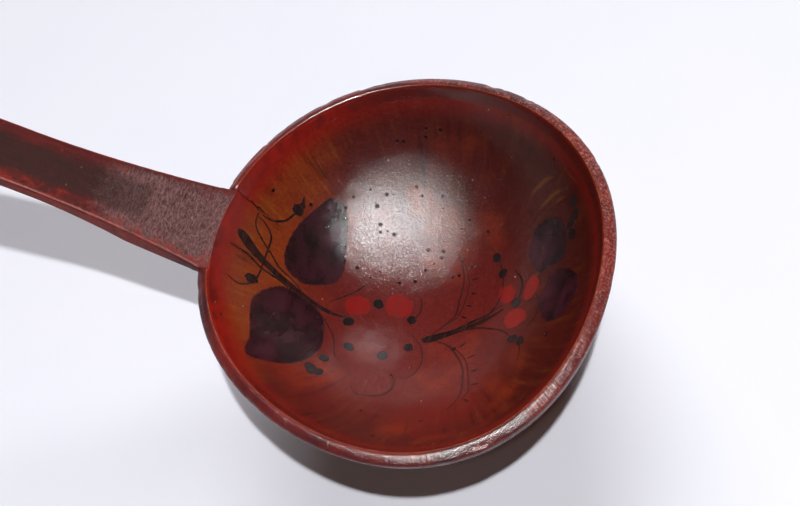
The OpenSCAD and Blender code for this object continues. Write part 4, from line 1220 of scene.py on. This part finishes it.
# Each stroke is a line of (x, y, half width).
STEMS = [
    [(-58, 4, 0.6), (-57, 3, 1.5), (-55, 1, 1.6), (-52, -1, 1.3), (-48, -3, 1.1), (-43, -5, 1.0),
     (-35, -8, 0.9), (-30, -9, 0.8), (-25, -9, 0.6)],
    [(-59, -2, 0.4), (-55, -2, 0.6), (-51, -4, 0.6), (-46, -5, 0.6), (-40, -7, 0.6), (-34, -8, 0.4)],
    [(-55, 12, 0.3), (-55, 8, 0.4), (-53, 5, 0.5), (-50, 2, 0.5), (-47, -1, 0.5), (-43, -3, 0.4),
     (-39, -6, 0.3)],
    [(-55, 11, 0.3), (-53, 10, 0.4), (-51, 7, 0.5), (-51, 2, 0.5), (-51, -3, 0.4), (-51, -8, 0.5),
     (-52, -11, 0.5), (-54, -13, 0.4), (-57, -12, 0.2)],
    [(-54, 12, 0.3), (-52, 12, 0.5), (-50, 13, 0.6), (-48, 15, 0.5), (-46, 19, 0.6), (-45, 21, 0.9),
     (-45, 24, 0.2)],
    [(-33, -10, 0.3), (-29, -14, 0.4), (-26, -18, 0.4), (-24, -23, 0.4), (-22, -25, 0.2)],
    [(-31, -5, 0.3), (-28, -2, 0.4), (-25, 1, 0.4), (-22, 5, 0.2)],
    [(0, -10, 0.5), (2, -10, 1.5), (6, -8, 1.4), (10, -6, 1.1), (16, -3, 0.9), (21, 0, 0.8),
     (25, 3, 0.5)],
    [(9, -6, 0.6), (15, -2, 0.7), (20, 1, 0.5), (24, 4, 0.3)],
    [(17, -2, 0.4), (21, 2, 0.5), (23, 7, 0.5), (23, 11, 0.4), (22, 15, 0.5), (20, 19, 0.4)],
    [(9, -6, 0.6), (17, -4, 0.6), (22, -4, 0.5), (27, -5, 0.4), (31, -8, 0.4)],
    [(26, 16, 0.3), (29, 13, 0.6), (30, 9, 0.6), (29, 6, 0.4)],
    [(35, 8, 0.3), (37, 4, 0.4), (37, -1, 0.4), (35, -4, 0.2)],
    [(34, -10, 0.6), (35, -13, 0.4), (35, -17, 0.1)],
    [(44, 34, 0.2), (45, 30, 0.6), (45, 26, 0.6), (44, 22, 0.2)],
]
CURLS = [
    [(4, 22, 0.2), (7, 18, 0.5), (9, 12, 0.5), (9, 5, 0.6), (9, 0, 0.6), (7, -3, 0.5), (3, -8, 0.3)],
    [(5, 21, 0.2), (9, 16, 0.3), (11, 11, 0.4), (11, 5, 0.4), (10, 0, 0.4), (8, -3, 0.3), (5, -6, 0.2)],
    [(4, -10, 0.3), (9, -11, 0.5), (13, -14, 0.6), (17, -19, 0.6), (19, -25, 0.6), (20, -30, 0.5),
     (19, -34, 0.4), (18, -37, 0.2)],
    [(6, -10, 0.3), (12, -12, 0.4), (17, -16, 0.5), (20, -22, 0.5), (22, -28, 0.4), (21, -32, 0.2)],
    [(-15, -34, 0.2), (-11, -36, 0.4), (-6, -35, 0.5), (-3, -32, 0.6), (-3, -28, 0.6), (-5, -25, 0.3)],
    [(-2, -26, 0.2), (1, -25, 0.4), (3, -20, 0.5), (2, -15, 0.5), (0, -12, 0.4), (-5, -8, 0.2)],
    [(-7, 6, 0.2), (-4, 4, 0.4), (-3, 0, 0.6), (-4, -3, 0.5), (-5, -4, 0.3)],
]
TICK_ROWS = [
    [(9, 16), (11, 11), (11, 5), (10, 0)],
    [(13, -12), (17, -16), (20, -22), (22, -28), (21, -31)],
]
GOLD = [
    [(27, 35, 0.3), (29, 38, 1.0), (33, 40, 1.2), (37, 40, 0.4)],
    [(30, 31, 0.3), (33, 34, 1.0), (37, 36, 1.2), (41, 36, 0.3)],
    [(33, 29, 0.2), (36, 33, 0.7), (40, 34, 0.8), (43, 34, 0.2)],
    [(-57, 14, 0.3), (-55, 14, 0.9), (-53, 13, 0.8), (-51, 12, 0.2)],
    [(-37, -5, 0.2), (-36, -5, 0.7), (-35, -6, 0.7), (-34, -6, 0.2)],
    [(-32, -6, 0.2), (-31, -6, 0.7), (-30, -6, 0.2)],
    [(-25, -30, 0.2), (-24, -30, 0.8), (-22, -31, 0.6), (-21, -31, 0.2)],
    [(-15, -7, 0.2), (-14, -7, 0.5), (-13, -7, 0.2)],
    [(-12, -15, 0.2), (-11, -15, 0.5), (-10, -15, 0.2)],
    [(-12, -25, 0.2), (-11, -25, 0.5), (-10, -25, 0.2)],
]


def filled_shapes(name, shapes):
    """Flat filled shapes as rings drawn in from their outlines; across is the depth from the outline."""
    bowl = settings()[0]
    points, faces, across = [], [], []
    shares = [0, 0.02, 0.05, 0.1, 0.18, 0.3, 0.45, 0.6, 0.75, 0.88]
    for centre, outline in shapes.values():
        line = smooth_line(list(outline) + [outline[0]], 8)[:-1]
        count, base = len(line), len(points)
        size = sum((p - Vector(centre)).length for p in line) / count
        for share in shares:
            for p in line:
                q = p.lerp(Vector(centre), share)
                x, y = unswell(q.x, q.y, bowl)
                points.append((x * MM, y * MM, 0))
                across.append(share * size)
        x, y = unswell(centre[0], centre[1], bowl)
        points.append((x * MM, y * MM, 0))
        across.append(size)
        for r in range(len(shares) - 1):
            for k in range(count):
                a, b = base + r * count + k, base + r * count + (k + 1) % count
                faces.append((a, b, b + count, a + count))
        inner, middle = base + (len(shares) - 1) * count, len(points) - 1
        for k in range(count):
            faces.append((inner + k, inner + (k + 1) % count, middle))
    return mesh_object(name, points, faces=faces, attributes={"across": across})


def brush_lines(name, strokes):
    """Lines of points with a half width, ready for the brush tree."""
    bowl = settings()[0]
    points, edges, widths = [], [], []
    for stroke in strokes:
        line = smooth_line(stroke, 8)
        base = len(points)
        for p in line:
            x, y = unswell(p[0], p[1], bowl)
            points.append((x * MM, y * MM, 0))
            widths.append(max(p[2] * (0.62 if p[2] < 0.8 else 0.9), 0.06) * MM)
        edges += [(base + i, base + i + 1) for i in range(len(line) - 1)]
    return mesh_object(name, points, edges=edges, attributes={"half_width": widths})


def lay_on_wall(made, material):
    """Lays flat artwork on the inside wall as a coat."""
    bowl, _, paint, _ = settings()
    values = {"Ball Radius": bowl.inner_ball, "Ball Height": bowl.inner_height, "Lift": paint.lift,
              "Bed": paint.bed, "Material": material}
    values.update(shape_values(bowl))
    run_nodes(made, coat_tree(), values)
    outward(made)
    return made


def draw_strokes(name, strokes, look, slot, node):
    """Draws brush strokes on the inside wall and hands them over as one piece."""
    made = brush_lines(name, strokes)
    run_nodes(made, brush_tree(), {"Material": look})
    finish_piece(lay_on_wall(made, look), slot, node)


# ---------------------------------------------------------------- operators

FLOOR_HALF = 6.0          # metres from the middle of the floor to its side
LAMP_DISTANCE = 1.3       # metres from the bowl to each lamp
CAMERA_DISTANCE = 0.3983  # metres from the camera to the point it looks at


class LADLE_OT_stage(bpy.types.Operator):
    """Pale floor, soft key and fill light, and the camera"""
    bl_idname = "ladle.stage"
    bl_label = "Floor, Light and Camera"

    def execute(self, context):
        scene, look = context.scene, context.scene.ladle_stage
        corners = [(x * FLOOR_HALF, y * FLOOR_HALF, 0) for x, y in ((-1, -1), (1, -1), (1, 1), (-1, 1))]
        floor = mesh_object("floor", corners, faces=[(0, 1, 2, 3)])
        made, tree, shader, mm = surface("matt_paper_backdrop")
        fibre = add(tree, "ShaderNodeTexNoise", {"Vector": mm, "Scale": 0.02, "Detail": 3.0})
        tone = add(tree, "ShaderNodeMix", {0: fibre.outputs["Fac"], 6: linear("#c2c3ca"), 7: look.floor},
                   **RGBA)
        tree.links.new(tone.outputs[2], shader.inputs["Base Color"])
        shader.inputs["Roughness"].default_value = 0.85
        shader.inputs["Specular IOR Level"].default_value = 0.2
        floor.data.materials.append(made)

        # The surround looks pale but lights and mirrors little, as a pale wall far off does.
        world = bpy.data.worlds.new("studio_surround")
        world.use_nodes = True
        tree = world.node_tree
        tree.nodes.clear()
        dim = add(tree, "ShaderNodeBackground", {"Color": linear("#f4f6ff"), "Strength": look.sky})
        pale = add(tree, "ShaderNodeBackground", {"Color": linear("#eceef4"), "Strength": 0.85})
        rays = add(tree, "ShaderNodeLightPath")
        seen = add(tree, "ShaderNodeMixShader", {0: rays.outputs["Is Camera Ray"], 1: dim, 2: pale})
        add(tree, "ShaderNodeOutputWorld", {"Surface": seen})
        scene.world = world
        scene.view_settings.view_transform = "Standard"

        # Size is a lamp's width in metres, or the angle in degrees that far-off light is spread over,
        # which lights the floor evenly to its end.
        bowl_middle = Vector((0, 0, 0.02))
        for name, kind, power, size, direction, tint, lights, mirrored in (
                ("key_light", "AREA", look.key, 0.04, (0.25, -0.14, 1.0), "#fbfcff", True, False),
                ("glint_light", "AREA", look.glint, 0.07, (0.195, -0.345, 0.92), "#fffdfc", False, True),
                ("fill_light", "SUN", look.fill, 41, (-0.30, 0.75, 0.55), "#fbfcff", True, False),
                ("window_light", "SUN", look.window, 14, (0.02, 0.75, 0.65), "#fbfcff", False, True),
                ("bounce_light", "SUN", look.bounce, 35, (0.55, -0.65, 0.50), "#ff9a70", True, False)):
            light = bpy.data.lights.new(name, kind)
            light.energy = power
            light.color = linear(tint)[:3]
            if kind == "AREA":
                light.shape = "DISK"
                light.size = size
            else:
                light.angle = math.radians(size)
            lamp = bpy.data.objects.new(name, light)
            scene.collection.objects.link(lamp)
            away = Vector(direction).normalized()
            lamp.location = bowl_middle + away * LAMP_DISTANCE
            lamp.rotation_euler = away.to_track_quat("Z", "Y").to_euler()
            lamp.visible_diffuse = lights
            lamp.visible_glossy = mirrored

        azimuth, elevation, roll = (math.radians(a) for a in (38.2, 58.9, -25.7))
        target = Vector((-0.51, 0.06, 50)) * MM
        back = Vector((math.sin(azimuth) * math.cos(elevation), -math.cos(azimuth) * math.cos(elevation),
                       math.sin(elevation)))
        right = Vector((math.cos(azimuth), math.sin(azimuth), 0))
        up = back.cross(right)
        across = math.cos(roll) * right + math.sin(roll) * up
        above = -math.sin(roll) * right + math.cos(roll) * up
        camera = bpy.data.objects.new("camera", bpy.data.cameras.new("camera"))
        camera.data.lens = 60
        camera.data.sensor_width = 36
        camera.data.clip_start = 0.01
        place = Matrix((across, above, back)).transposed().to_4x4()
        place.translation = target + back * CAMERA_DISTANCE
        camera.matrix_world = place
        scene.collection.objects.link(camera)
        scene.camera = camera
        return {"FINISHED"}


class LADLE_OT_bowl(bpy.types.Operator):
    """The turned and hand-finished bowl with its knocked rim"""
    bl_idname = "ladle.bowl"
    bl_label = "Bowl"

    def execute(self, context):
        bowl = context.scene.ladle_bowl
        points, zones = bowl_profile(bowl)
        made = turned("bowl_wood", points, zones, bowl_material())
        wear_rim(made, bowl)
        finish_piece(made, "bowl_lacquer", "bowl")
        return {"FINISHED"}


class LADLE_OT_rim_edge(bpy.types.Operator):
    """The worn coat of lacquer over the rim"""
    bl_idname = "ladle.rim_edge"
    bl_label = "Rim Edge Coat"

    def execute(self, context):
        bowl = context.scene.ladle_bowl
        over = [(62.2, 49.93), (62.45, 50.0), (62.9, 50.0), (63.42, 49.84), (63.93, 49.57),
                (64.44, 49.29), (64.9, 49.02), (65.26, 48.74), (65.52, 48.43), (65.65, 48.1),
                (65.63, 47.75)]
        under = [(65.4, 47.8), (65.1, 48.4), (64.3, 48.95), (63.3, 49.5), (62.4, 49.7)]
        points = over + under + [over[0]]
        made = turned("rim_edge_paint", points, [1.0] * len(points), rim_material())
        wear_rim(made, bowl)
        finish_piece(made, "rim_paint", "rim_edge")
        return {"FINISHED"}


class LADLE_OT_rim_band(bpy.types.Operator):
    """The crimson band under the rim, which also crosses the handle's inner end"""
    bl_idname = "ladle.rim_band"
    bl_label = "Crimson Band"

    def execute(self, context):
        bowl, _, paint, hue = settings()
        ball, height = bowl.inner_ball / MM, bowl.inner_height / MM
        lift, bed = paint.lift / MM, paint.bed / MM
        low, high, rows = 45.0, 49.0, 14
        face, back = [], []
        for i in range(rows + 1):
            z = low + (high - low) * i / rows
            for line, off in ((face, lift), (back, -bed)):
                r = math.sqrt((ball - off) ** 2 - (height - z) ** 2)
                line.append((r, z))
        depth = [(high - low) * i / rows for i in range(rows + 1)]
        points = face + back[::-1] + [face[0]]
        across = depth + depth[::-1] + [0]
        paint_look = paint_material("crimson_linseed_band", hue.crimson, "#5c110a", soft=1.6, start=0.0,
                                    thin=0.12, streaks=2.5, far="#3f100c")
        made = turned("rim_band_paint", points, across, paint_look)
        outward(made)
        finish_piece(made, "crimson_paint", "rim_band")
        return {"FINISHED"}


class LADLE_OT_handle(bpy.types.Operator):
    """The flared, rising handle"""
    bl_idname = "ladle.handle"
    bl_label = "Handle"

    def execute(self, context):
        made = handle_mesh("handle_wood")
        made.data.materials.append(handle_material("linseed_lacquer_on_handle", False))
        outward(made)
        finish_piece(made, "handle_lacquer", "handle")
        return {"FINISHED"}


class LADLE_OT_panel_paint(bpy.types.Operator):
    """The brown-black middle painted along the top of the handle"""
    bl_idname = "ladle.panel_paint"
    bl_label = "Handle Panel"

    def execute(self, context):
        h = context.scene.ladle_handle
        first, last, bare = 20 * MM, h.reach - 9 * MM, 3 * MM
        start, axis, normal = slope_frame(h)
        points, faces, along, across, flank, border = [], [], [], [], [], []
        columns, rows = 20, 180
        face, underside = -0.02 * MM, -0.25 * MM
        for lift in (face, underside):
            for i in range(rows + 1):
                u = first + (last - first) * i / rows
                half = h.neck / 2 + (h.end - h.neck) / 2 * (u - first) / (last - first) - bare
                for k in range(columns + 1):
                    y = half * (2 * k / columns - 1)
                    p = start + axis * u + normal * lift
                    points.append((p.x, y, p.z))
                    along.append(u / MM)
                    across.append(y / (half + bare))
                    flank.append(0.0)
                    border.append(min(half - abs(y), u - first, last - u) / MM)
        span, layer = columns + 1, (rows + 1) * (columns + 1)
        for i in range(rows):
            for k in range(columns):
                a = i * span + k
                faces.append((a, a + span, a + span + 1, a + 1))
                faces.append((a + layer, a + layer + 1, a + layer + span + 1, a + layer + span))
        rim = [k for k in range(span)] + [i * span + columns for i in range(1, rows + 1)]
        rim += [rows * span + k for k in range(columns - 1, -1, -1)]
        rim += [i * span for i in range(rows - 1, 0, -1)]
        for a, b in zip(rim, rim[1:] + rim[:1]):
            faces.append((a, b, b + layer, a + layer))
        made = mesh_object("panel_paint", points, faces=faces,
                           attributes={"along": along, "across": across, "flank": flank,
                                       "border": border})
        made.data.materials.append(handle_material("smoked_varnish_panel", True))
        outward(made)
        finish_piece(made, "panel_paint", "handle_panel")
        return {"FINISHED"}


class LADLE_OT_fruits(bpy.types.Operator):
    """Four aubergine-black fruits"""
    bl_idname = "ladle.fruits"
    bl_label = "Fruits"

    def execute(self, context):
        hue = context.scene.ladle_colours
        look = paint_material("aubergine_black_paint", hue.fruit, "#30111a", soft=0.7, thin=0.05,
                              streaks=6.0)
        finish_piece(lay_on_wall(filled_shapes("fruit_paint", FRUITS), look), "fruit_paint", "fruits")
        return {"FINISHED"}


class LADLE_OT_petals(bpy.types.Operator):
    """The bright red petals of the two flowers"""
    bl_idname = "ladle.petals"
    bl_label = "Petals"

    def execute(self, context):
        hue = context.scene.ladle_colours
        look = paint_material("cinnabar_red_paint", hue.petal, "#67120c", soft=0.9, thin=0.12,
                              streaks=2.0)
        finish_piece(lay_on_wall(filled_shapes("red_petals", PETALS), look), "petal_paint", "petals")
        return {"FINISHED"}


class LADLE_OT_berries(bpy.types.Operator):
    """Round dabs of black for the berries"""
    bl_idname = "ladle.berries"
    bl_label = "Berries"

    def execute(self, context):
        bowl, _, paint, hue = settings()
        look = paint_material("soot_black_paint", hue.berry, "#1e1312", soft=0.25, thin=0.03)
        spots = BERRIES + [spot for pair in BLOBS for spot in pair]
        points = [(x * MM, y * MM, 0) for x, y in (unswell(*spot, bowl) for spot in spots)]
        made = mesh_object("berry_paint", points)
        run_nodes(made, dab_tree(), {"Diameter": paint.berry, "Seed": SEED, "Material": look})
        finish_piece(lay_on_wall(made, look), "berry_paint", "berries")
        return {"FINISHED"}


class LADLE_OT_stems(bpy.types.Operator):
    """The stems, drawn with a loaded brush"""
    bl_idname = "ladle.stems"
    bl_label = "Stems"

    def execute(self, context):
        hue = context.scene.ladle_colours
        look = paint_material("stem_black_paint", hue.stem, "#241310", soft=0.16, start=0.0, thin=0.05)
        draw_strokes("stem_paint", STEMS, look, "stem_paint", "stems")
        return {"FINISHED"}


class LADLE_OT_curls(bpy.types.Operator):
    """The thin dark curls of grass"""
    bl_idname = "ladle.curls"
    bl_label = "Curls"

    def execute(self, context):
        hue = context.scene.ladle_colours
        look = paint_material("thin_brown_paint", hue.curl, "#240c0a", soft=0.14, start=0.0, thin=0.15)
        draw_strokes("curl_paint", CURLS, look, "curl_paint", "curls")
        return {"FINISHED"}


class LADLE_OT_ticks(bpy.types.Operator):
    """Rows of short ticks beside the two large curls"""
    bl_idname = "ladle.ticks"
    bl_label = "Curl Ticks"

    def execute(self, context):
        bowl, _, paint, hue = settings()
        look = paint_material("tick_brown_paint", hue.stem, "#240c0a", soft=0.12, start=0.0, thin=0.1)
        points, edges = [], []
        for row in TICK_ROWS:
            line, base = smooth_line(row, 8), len(points)
            points += [(x * MM, y * MM, 0) for x, y in (unswell(p[0], p[1], bowl) for p in line)]
            edges += [(base + i, base + i + 1) for i in range(len(line) - 1)]
        made = mesh_object("tick_paint", points, edges=edges)
        run_nodes(made, tick_tree(), {"Count": 5, "Gap": 0.8 * MM, "Length": paint.tick,
                                      "Width": 0.7 * MM, "Material": look})
        finish_piece(lay_on_wall(made, look), "curl_paint", "curl_ticks")
        return {"FINISHED"}


class LADLE_OT_gold(bpy.types.Operator):
    """What is left of the golden strokes"""
    bl_idname = "ladle.gold"
    bl_label = "Gold Strokes"

    def execute(self, context):
        draw_strokes("gold_paint", GOLD, gold_material(), "gold_paint", "gold_strokes")
        return {"FINISHED"}


OPERATORS = (LADLE_OT_bowl, LADLE_OT_rim_edge, LADLE_OT_rim_band, LADLE_OT_handle, LADLE_OT_panel_paint,
             LADLE_OT_fruits, LADLE_OT_petals, LADLE_OT_berries, LADLE_OT_stems, LADLE_OT_curls,
             LADLE_OT_ticks, LADLE_OT_gold, LADLE_OT_stage)


class LADLE_PT_panel(bpy.types.Panel):
    """Lists the ladle's pieces and their settings"""
    bl_idname = "LADLE_PT_panel"
    bl_label = "Painted Ladle"
    bl_space_type = "VIEW_3D"
    bl_region_type = "UI"
    bl_category = "Ladle"

    def draw(self, context):
        for group in GROUPS:
            box = self.layout.box()
            box.label(text=group)
            values = getattr(context.scene, group)
            for name in values.bl_rna.properties.keys():
                if name not in ("rna_type", "name"):
                    box.prop(values, name)
        column = self.layout.column(align=True)
        for operator in OPERATORS:
            column.operator(operator.bl_idname)


GROUPS = {"ladle_bowl": BowlSettings, "ladle_handle": HandleSettings, "ladle_paint": PaintSettings,
          "ladle_colours": ColourSettings, "ladle_stage": StageSettings}


def register():
    for kind in (*GROUPS.values(), *OPERATORS, LADLE_PT_panel):
        bpy.utils.register_class(kind)
    for name, kind in GROUPS.items():
        setattr(bpy.types.Scene, name, PointerProperty(type=kind))


def unregister():
    for name in GROUPS:
        delattr(bpy.types.Scene, name)
    for kind in (LADLE_PT_panel, *OPERATORS, *GROUPS.values()):
        bpy.utils.unregister_class(kind)


def main():
    register()
    for operator in OPERATORS:
        getattr(bpy.ops.ladle, operator.bl_idname.split(".")[1])()


if __name__ == "__main__":
    main()
